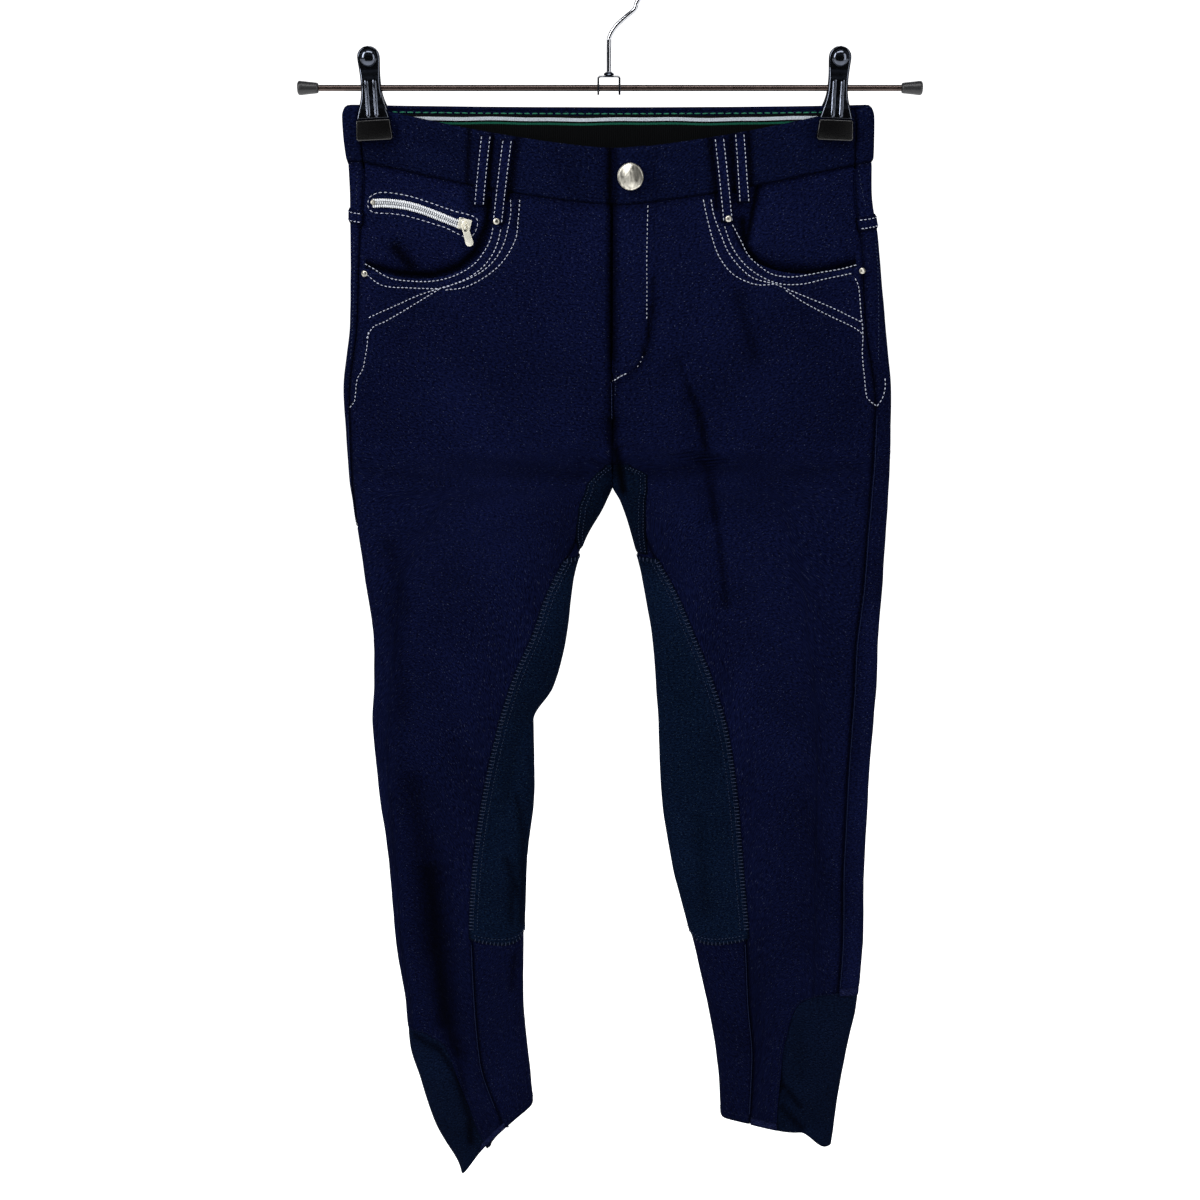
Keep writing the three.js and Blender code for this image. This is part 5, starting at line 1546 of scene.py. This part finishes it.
# %% [markdown]
# ## Patch sewing
# The knee patches are held by an edging of close cross stitches in a slate thread,
# with a plain row inside it. They follow the patch edge that was built above.

# %% Patch rows
EDGE_ROWS = (  # off the patch's edge, pitch, length, thickness, turn, lift
    (1.6, 2.9, 3.4, 0.52, math.pi / 2, 1.12),
    (3.4, 2.9, 1.6, 0.40, 0, 1.30),
    (6.8, 2.6, 1.2, 0.42, 0, 1.32),
)
LOW_ROW = 0.983
patch_rows = []
for leg in (RIGHT, LEFT):
    v = np.linspace(0.005, 0.975, 160)
    for u_edge, way in ((0.0, 1), (1.0, -1)):
        a, z = knee_places(leg, np.full(160, u_edge), v)
        for off, pitch, long, thin, turn, lift in EDGE_ROWS:
            place = nudge(leg, a, z, off * way)
            patch_rows.append((*leg_frame(leg, place, z, lift=lift), pitch, long, thin, turn))
    u = np.linspace(0.02, 0.98, 120)
    for v_edge, lift in ((0.005, 1.12), (0.995, 1.12)):
        patch_rows.append((*leg_frame(leg, *knee_places(leg, u, np.full(120, v_edge)), lift=lift),
                           2.9, 3.4, 0.52, math.pi / 2))
    low_row = leg_frame(leg, *knee_places(leg, u, np.full(120, LOW_ROW)), lift=1.32)
    patch_rows.append((*low_row, 2.6, 1.2, 0.42, 0))
    v = np.linspace(0.02, 0.98, 60)
    a, z = gusset_places(leg, np.zeros(60), v)
    patch_rows.append((*leg_frame(leg, nudge(leg, a, z, 1.5), z, lift=1.15), 2.2, 1.1, 0.5, 0))
    patch_rows.append((*leg_frame(leg, nudge(leg, a, z, 5.0), z, lift=1.2), 2.4, 1.0, 0.42, 0))
sew("slate_patch_stitching", patch_rows, SLATE_THREAD)

# %% [markdown]
# The seams of the legs stand up as a fine ridge, because the sewing pulls the cloth
# together there. A close row of thread gives that ridge a real thickness, beside the
# front seam of each shin, both side seams and the fly. The thread is paler than the
# cloth, as painted highlight for the light that the ridge catches.

# %% Seam ridges
ridge_rows = []
for leg in (RIGHT, LEFT):
    z = np.linspace(-706, -852 if leg.side < 0 else -858, 120)
    a = nudge(leg, front_seam(leg, z), z, leg.side * 1.0)
    ridge_rows.append((*leg_frame(leg, a, z, lift=0.1), 2.0, 2.6, 0.55, 0))
    z = np.linspace(-300, CUFF_TOP[leg.name] + 6, 240)
    a = nudge(leg, side_seam(leg, z), z, -1.1)
    ridge_rows.append((*leg_frame(leg, a, z, lift=0.1), 2.0, 2.6, 0.5, 0))
ridge_rows.append((*row_on_body([(2.2, -275), (2.6, -300)], 0.1), 2.0, 2.6, 0.5, 0))
# The ridge thread's pale colour is painted highlight.
sew("seam_ridges", ridge_rows, RIDGE_HIGHLIGHT_THREAD)

# %% [markdown]
# ## Edging stitches at the ankle, the hem and the elastic
# A navy row runs beside the cuff and round the hem. Green stitches catch the top of
# the inner elastic.

# %% Ankle, hem and elastic rows
navy_rows = []
for leg in (RIGHT, LEFT):
    for back in (False, True):
        line = cuff_line(leg)
        x, z = line[:, 0] - leg.side * 2.2, line[:, 1] + 0.4
        a = place_at_x(leg, x, z, back)
        navy_rows.append((*leg_frame(leg, a, z, lift=0.22), 3.0, 2.1, 0.5, 0))
    a = np.concatenate([np.linspace(0.62, 1, 60), np.linspace(-1, -0.62, 60)])
    for part in (a[:60], a[60:]):
        navy_rows.append((*leg_frame(leg, part, hem_z(leg, part) + 7, lift=0.2), 3.0, 2.0, 0.5, 0))
sew("navy_edge_stitching", navy_rows, NAVY_THREAD)
x = np.linspace(-150, 150, 200)
binding = body_frame(x, back_top_z(x) - 4.0, back=True, lift=-BAND_IN - 0.15)
sew("green_elastic_stitching", [(binding[0], -binding[1], 5.0, 4.3, 0.9, 0)], GREEN_THREAD)

# %% [markdown]
# ## Turned metal pieces
# The button, the rivets and the hanger's end caps are round, so each is a profile
# spun about its axis, then set on the cloth with its axis along the cloth's outward
# direction. The button leans on its shank, and its face is bare, with an uneven
# antique finish.

# %% Turned pieces


def seat_matrix(point, normal):
    turn = Vector((0, 0, 1)).rotation_difference(Vector(normal)).to_matrix().to_4x4()
    return Matrix.Translation(Vector(point) * MM) @ turn


def turned(name, profile, place, material, node, steps=40):
    """Spins a profile of (radius, height) rows about +Z, then places it."""
    bm = bmesh.new()
    verts = [bm.verts.new((r * MM, 0, h * MM)) for r, h in profile]
    edges = [bm.edges.new(pair) for pair in zip(verts, verts[1:])]
    bmesh.ops.spin(bm, geom=verts + edges, cent=(0, 0, 0), axis=(0, 0, 1), angle=2 * math.pi,
                   steps=steps, use_merge=True)
    bmesh.ops.remove_doubles(bm, verts=bm.verts[:], dist=1e-6)
    bmesh.ops.recalc_face_normals(bm, faces=bm.faces[:])
    bm.transform(place)
    piece = finish_mesh(bm, name, material, node)
    piece.data.set_sharp_from_angle(angle=math.radians(42))
    return piece


def on_cloth(x, z, height):
    point, normal = body_frame(np.array([float(x)]), np.array([float(z)]), plain=True, lift=height)
    return seat_matrix(point[0], normal[0])


BUTTON = [(0, 0), (7.2, 0), (8.3, 0.3), (8.7, 0.9), (8.7, 1.3), (8.45, 1.6), (8.1, 1.65), (7.85, 1.5),
          (7.6, 1.55), (6.6, 1.95), (5.2, 2.4), (3.6, 2.75), (1.8, 2.95), (0, 3.0)]
BUTTON_X, BUTTON_Z, SHANK = 14.2, -139, 3.75
BUTTON_LEAN = math.radians(-20)
turned("waist_button_cast", BUTTON,
       on_cloth(BUTTON_X, BUTTON_Z, BAND_OUT + SHANK) @ Matrix.Rotation(BUTTON_LEAN, 4, "Y"),
       ANTIQUE, "waist_button", 56)
RIVET = [(0, 0), (2.0, 0), (2.2, 0.3), (2.1, 0.7), (1.8, 0.95), (1.4, 1.15), (0.8, 1.35), (0, 1.4)]
for name, x, z, height in (
    ("right_inner", -72, -168, BAND_OUT + 2.2), ("left_inner", 77.2, -166.5, BAND_OUT + 2.4),
    ("right_outer", -160, -203.5, 0.45), ("left_outer", 166.5, -201.5, 0.45),
):
    turned(f"rivet_{name}_pressed", RIVET, on_cloth(x, z, height), ANTIQUE, f"rivet_{name}", 24)
print("button and rivets done")

# %% [markdown]
# ## The zip
# White coil teeth lie in three rows, a fine one between two broad ones, on a grey tape
# that is set into a curved slit in the hip panel. The slider and its pull are cast, so
# the frame's own shapes only need their sharp edges rounded: a bevel on a merged copy
# does that.

# %% Zip
ZIP_LINE = curve_through([(-154, -158.5), (-148, -158.1), (-142, -158.2), (-131.6, -159.3), (-121.4, -161.7),
                          (-111.2, -165.2), (-99.7, -169.5), (-91, -172.6)])
ZIP_WIDTH = 5.2


def zip_frame(t, off, lift):
    x, z = along_path(ZIP_LINE, t)
    z = z + off
    return leg_frame(RIGHT, place_at_x(RIGHT, x, z), z, plain=True, lift=lift)


TAPE_LIFT = -CLOTH + 0.45
grid_sheet(
    "zip_tape_woven", 80, 8, lambda u, v: zip_frame(u, ZIP_WIDTH * (0.5 - v), TAPE_LIFT), ZIP_GREY,
    "zip_tape", thick=0.5,
)
COIL_ROWS = ((1.85, 1.25, 2.3, 1.2), (-1.85, 1.25, 2.3, 1.1), (0.1, 1.45, 1.9, 0.72))
t = np.linspace(0.012, 0.95, 160)
teeth = [(*zip_frame(t, np.full(160, off), TAPE_LIFT + 0.28), pitch, long, wide, math.pi / 2)
         for off, pitch, long, wide in COIL_ROWS]
sew("zip_coil_teeth", teeth, ZIP_WHITE)
stop_seat = seat_matrix(*(value[0] for value in zip_frame(np.array([0.02]), np.array([0.6]), TAPE_LIFT)))
turned("zip_stop_crimped", [(0, 0), (1.5, 0), (1.8, 0.4), (1.6, 0.9), (0, 1.1)], stop_seat,
       ANTIQUE, None, 16)


def softened(node, name, width, material, body="breeches", segments=3, angle=30, shape=None):
    """A merged copy of a frame node with its sharp edges rounded; shape may trim it first."""
    bm = bmesh.new()
    bm.from_mesh(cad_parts[node].data)
    for vertex in bm.verts if shape else ():
        vertex.co = shape(vertex.co)
    bmesh.ops.remove_doubles(bm, verts=bm.verts[:], dist=1e-6)
    bmesh.ops.dissolve_limit(bm, angle_limit=math.radians(2), verts=bm.verts[:], edges=bm.edges[:])
    sharp = [e for e in bm.edges if e.is_manifold and e.calc_face_angle(0) > math.radians(angle)]
    bmesh.ops.bevel(bm, geom=sharp, offset=width * MM, offset_type="OFFSET", segments=segments,
                    profile=0.5, affect="EDGES", clamp_overlap=True, material=-1)
    piece = finish_mesh(bm, name, material, node, body)
    piece.data.set_sharp_from_angle(angle=math.radians(50))
    return piece


softened("zip_slider", "zip_slider_cast", 0.35, ZINC)
softened("zip_pull", "zip_pull_cast", 0.28, ZINC, body="zip_pull")
print("zip done")

# %% [markdown]
# ## The hanger's wire and rod
# The hook is one bent wire. A curve with a round bevel gives it, and is then made a
# mesh. The rod is a long spun profile with small end chamfers inside the caps. A bent
# saddle and a pressed bead hold the hook on the rod.

# %% Hook, rod and caps
HOOK_RADIUS, WIRE, ROD_RADIUS, ROD_LENGTH, CAP_LENGTH = 22.5, 3, 2, 400, 13


def tube(name, points, radius, material, node):
    """A round wire along points, made a mesh."""
    curve = bpy.data.curves.new(name, "CURVE")
    curve.dimensions = "3D"
    curve.bevel_depth = radius * MM
    curve.bevel_resolution = 5
    curve.use_fill_caps = True
    spline = curve.splines.new("POLY")
    spline.points.add(len(points) - 1)
    for target, point in zip(spline.points, points):
        target.co = (*(np.array(point) * MM), 1)
    holder = bpy.data.objects.new(name + "_curve", curve)
    bpy.context.scene.collection.objects.link(holder)
    bpy.context.view_layer.update()
    mesh = bpy.data.meshes.new_from_object(holder.evaluated_get(bpy.context.evaluated_depsgraph_get()))
    bm = bmesh.new()
    bm.from_mesh(mesh)
    bpy.data.objects.remove(holder)
    bmesh.ops.remove_doubles(bm, verts=bm.verts[:], dist=1e-6)
    bmesh.ops.recalc_face_normals(bm, faces=bm.faces[:])
    piece = finish_mesh(bm, name, material, node)
    piece.data.set_sharp_from_angle(angle=math.radians(50))
    return piece


hook_points = [(0.3, 0, -77), (0.3, 0, -60), (0.8, 0, -55), (4.5, 0, -49), (10.5, 0, -43.5), (16.5, 0, -38.5)]
for degrees in range(-38, 191, 19):
    angle = math.radians(degrees)
    hook_points.append((HOOK_RADIUS * math.cos(angle), 0,
                        -HOOK_RADIUS + WIRE / 2 + HOOK_RADIUS * math.sin(angle)))
tube("hook_wire", curve_through(hook_points, 9), WIRE / 2, CHROME, "hook")
half = ROD_LENGTH / 2 - CAP_LENGTH - 0.3
ROD = [(0, -half), (1.7, -half), (ROD_RADIUS, -half + 0.3), (ROD_RADIUS, 0), (ROD_RADIUS, half - 0.3),
       (1.7, half), (0, half)]
along_x = Matrix.Translation(Vector((ROD_X, 0, ROD_Z)) * MM) @ Matrix.Rotation(math.pi / 2, 4, "Y")
turned("rod_drawn", ROD, along_x, ROD_STEEL, "rod", 32)
CAP = [(0, 0), (3.0, 0), (3.3, 0.4), (3.5, 1.6), (3.75, 4.0), (4.0, 6.6), (4.3, 9.2), (4.5, 10.8),
       (4.5, 11.8), (4.2, 12.5), (3.4, 12.95), (0, 13)]
SADDLE_TOP_SHARE, SADDLE_LEG_SHARE, BEAD_RISE = 0.63, 0.67, 7.6
for side, name in ((-1, "right"), (1, "left")):
    place = Matrix.Translation(Vector((ROD_X + side * (ROD_LENGTH / 2 - CAP_LENGTH), 0, ROD_Z)) * MM)
    turned(f"rod_cap_{name}_moulded", CAP, place @ Matrix.Rotation(side * math.pi / 2, 4, "Y"),
           RUBBER, f"rod_cap_{name}", 32)


def low_saddle(co):
    """The saddle hugs the rod: lower above it, and shorter below it."""
    height = co.z - ROD_Z * MM
    share = SADDLE_TOP_SHARE if height > 0 else SADDLE_LEG_SHARE
    return Vector((co.x, co.y, ROD_Z * MM + height * share))


softened("hanger_saddle", "hanger_saddle_bent", 0.2, CLIP_CHROME, shape=low_saddle)
BEAD = [(0, 0), (2.4, 0), (3.1, 0.35), (3.4, 0.9), (3.1, 1.5), (2.5, 1.95), (1.9, 2.4), (0, 2.4)]
turned("hook_bead_pressed", BEAD, Matrix.Translation(Vector((0.3, 0, ROD_Z + BEAD_RISE)) * MM), CLIP_CHROME,
       "hook_bead", 32)
print("hanger done")

# %% [markdown]
# ## The clips
# A clip jaw is a strip of sheet steel: round at the rivet, narrow at the waist, wide
# at the pad, with two long ribs pressed outwards and its edges turned back. A grid
# whose rows follow the outline carries all of that as heights.

# %% Clip jaws and pads
CLIPS = [("right", -150.5, 3.1), ("left", 145.7, -2.4)]
PAD_TOP, PAD_HEIGHT, RIVET_Z, JAW_PLATE = -105.5, 13, -67.7, 1.1
JAW = table(["down", "out", "half"], [
    [-7.2, 0.15, 0.6], [-6.9, 0.15, 2.1], [-6.2, 0.15, 3.7], [-4.6, 0.15, 5.6], [-2.4, 0.15, 6.85],
    [0, 0.15, 7.2],
    [6, 0.3, 6.8], [14, 2.0, 6.25], [18.8, 2.35, 6.3], [24, 3.0, 6.9], [31, 4.8, 8.8], [34.5, 5.3, 9.9],
    [37.2, 5.55, 10.5],
])


def jaw_piece(clip, word, face, place):
    bm = bmesh.new()
    columns, rows = 44, 80
    bmesh.ops.create_grid(bm, x_segments=columns, y_segments=rows, size=1.0)
    for vertex in bm.verts:
        across, v = vertex.co.x, (1 - vertex.co.y) / 2
        down = -7.2 + 44.4 * (v ** 1.6 * 0.35 + v * 0.65)
        half = float(smooth_at(JAW, "half", down, "down"))
        x = across * half
        out = float(smooth_at(JAW, "out", down, "down")) + JAW_PLATE
        pressed = float(smoothstep(12.6, 15.5, down) * (1 - smoothstep(35.2, 36.6, down)))
        rib = 0.62 * pressed * (math.exp(-(((x - 2.6) / 0.85) ** 4)) + math.exp(-(((x + 2.6) / 0.85) ** 4)))
        edge = max(0.0, 1 - (half - abs(x)) / 1.3)
        vertex.co = (x * MM, face * (out + rib - 1.0 * edge ** 2.2) * MM, -down * MM)
    bm.normal_update()
    middle = bm.faces[:][len(bm.faces) // 2]
    if middle.normal.y * face < 0:
        bmesh.ops.reverse_faces(bm, faces=bm.faces[:])
    bm.transform(place @ Matrix.Translation((0, 0, (RIVET_Z - PAD_TOP + PAD_HEIGHT / 2) * MM)))
    piece = finish_mesh(bm, f"clip_{clip}_jaw_{word}_pressed", CLIP_CHROME,
                        f"clip_{clip}_jaw_{word}")
    wall = piece.modifiers.new("wall", "SOLIDIFY")
    wall.thickness = 0.8 * MM
    wall.offset = -1
    return piece


DOME = [(0, 0), (5.0, 0), (5.35, 0.3), (5.3, 0.8), (4.9, 1.4), (4.1, 2.05), (3.0, 2.55), (1.6, 2.88),
        (0, 3.0)]
for clip, x, lean in CLIPS:
    place = Matrix.Translation(Vector((x, 0, PAD_TOP - PAD_HEIGHT / 2)) * MM)
    place = place @ Matrix.Rotation(math.radians(-lean), 4, "Y")
    for word, face in (("front", -1), ("back", 1)):
        jaw_piece(clip, word, face, place)
        softened(f"clip_{clip}_pad_{word}", f"clip_{clip}_pad_{word}_moulded", 0.8, GLOSS_BLACK,
                 segments=4)
    rise = Matrix.Translation((0, (-0.15 - JAW_PLATE - 0.1) * MM, (RIVET_Z - PAD_TOP + PAD_HEIGHT / 2) * MM))
    turned(f"clip_{clip}_rivet_domed", DOME, place @ rise @ Matrix.Rotation(math.pi / 2, 4, "X"), CLIP_CHROME,
           f"clip_{clip}_rivet", 40)
print("clips done")

# %% [markdown]
# ## Floor, light and camera
# The garment hangs free in front of white. A pale floor lies well below it, and a
# large white dome, seen by the camera alone, stands for the studio wall, so that it
# doesn't wash out the metal. Dark cards beside the camera give the chrome something
# dark to reflect.

# %% Stage


def stage_piece(name, bm, colour, glow, camera_only=False):
    material, tree, shader = new_material(name, colour, 0.9)
    shader.inputs["Emission Color"].default_value = (1, 1, 1, 1)
    shader.inputs["Emission Strength"].default_value = glow
    mesh = bpy.data.meshes.new(name)
    bm.to_mesh(mesh)
    bm.free()
    mesh.materials.append(material)
    thing = bpy.data.objects.new(name, mesh)
    bpy.context.scene.collection.objects.link(thing)
    if camera_only:
        thing.visible_diffuse = thing.visible_glossy = thing.visible_transmission = False
        thing.visible_shadow = False
    return thing


bm = bmesh.new()
bmesh.ops.create_circle(bm, cap_ends=True, cap_tris=False, segments=64, radius=6.8,
                        matrix=Matrix.Translation((0, 0, -1.3)))
stage_piece("studio_floor", bm, (0.9, 0.9, 0.9), 0.9).visible_diffuse = False
bm = bmesh.new()
bmesh.ops.create_uvsphere(bm, u_segments=48, v_segments=24, radius=7)
stage_piece("studio_wall", bm, (0.0, 0.0, 0.0), 1.3, camera_only=True)

world = bpy.data.worlds.new("studio")
world.use_nodes = True
bpy.context.scene.world = world
world.node_tree.nodes["Background"].inputs["Color"].default_value = (0.93, 0.96, 1.0, 1)
world.node_tree.nodes["Background"].inputs["Strength"].default_value = 0.34
dim = world.node_tree.nodes.new("ShaderNodeBackground")
dim.inputs["Color"].default_value = (0.80, 0.86, 1.0, 1)
dim.inputs["Strength"].default_value = 0.10
rays = world.node_tree.nodes.new("ShaderNodeLightPath")
either = world.node_tree.nodes.new("ShaderNodeMixShader")
world.node_tree.links.new(rays.outputs["Is Glossy Ray"], either.inputs["Fac"])
world.node_tree.links.new(world.node_tree.nodes["Background"].outputs["Background"], either.inputs[1])
world.node_tree.links.new(dim.outputs["Background"], either.inputs[2])
world.node_tree.links.new(either.outputs["Shader"], world.node_tree.nodes["World Output"].inputs["Surface"])


def card(name, size, at, turn):
    """A black card that only reflections see."""
    bm = bmesh.new()
    bmesh.ops.create_grid(bm, x_segments=1, y_segments=1, size=0.5)
    bm.transform(Matrix.Translation(at) @ turn.to_4x4() @ Matrix.Diagonal((*size, 1, 1)))
    black = stage_piece(name, bm, (0.004, 0.004, 0.004), 0.0)
    black.visible_camera = black.visible_diffuse = black.visible_shadow = False
    return black


upright = Matrix.Rotation(math.pi / 2, 3, "X")
card("dark_card_front", (2.6, 1.5), (0, -1.9, -0.3), upright)
card("dark_card_high", (1.2, 0.5), (0, -1.2, 0.75), Matrix.Rotation(math.radians(40), 3, "X"))


def area_light(name, at, target, size, power, colour=(1, 1, 1)):
    data = bpy.data.lights.new(name, "AREA")
    data.shape = "RECTANGLE"
    data.size, data.size_y = size
    data.energy = power
    data.color = colour
    lamp = bpy.data.objects.new(name, data)
    lamp.location = at
    aim = Vector(target) - Vector(at)
    lamp.rotation_euler = aim.to_track_quat("-Z", "Y").to_euler()
    bpy.context.scene.collection.objects.link(lamp)
    return lamp


area_light("key", (-1.5, -1.1, 0.6), (0, 0, -0.42), (0.6, 1.5), 30)
area_light("fill", (1.5, -1.4, 0.1), (0, 0, -0.5), (0.7, 1.6), 12)
area_light("top", (0.1, -0.9, 1.3), (0, 0, -0.3), (1.6, 0.5), 16)
area_light("rim", (0.3, 1.5, 0.5), (0, 0, -0.4), (1.6, 1.0), 12)

camera_data = bpy.data.cameras.new("camera")
camera_data.lens = 54.87
camera_data.sensor_width = 36
camera = bpy.data.objects.new("camera", camera_data)
camera.location = (-0.0054, -1.213, 0.006)
camera.rotation_euler = (math.radians(70), 0, 0)
bpy.context.scene.collection.objects.link(camera)
bpy.context.scene.camera = camera
bpy.context.scene.view_settings.view_transform = "Standard"
bpy.context.scene.view_settings.look = "None"
print("camera at", tuple(round(v, 3) for v in camera.location))

# %% Measure and finish
for name, size, share in SHEETS:
    print(f"sheet {name}: {size[0] * 1000:.0f} x {size[1] * 1000:.0f} mm, {share * 1e4:.0f} cm2")
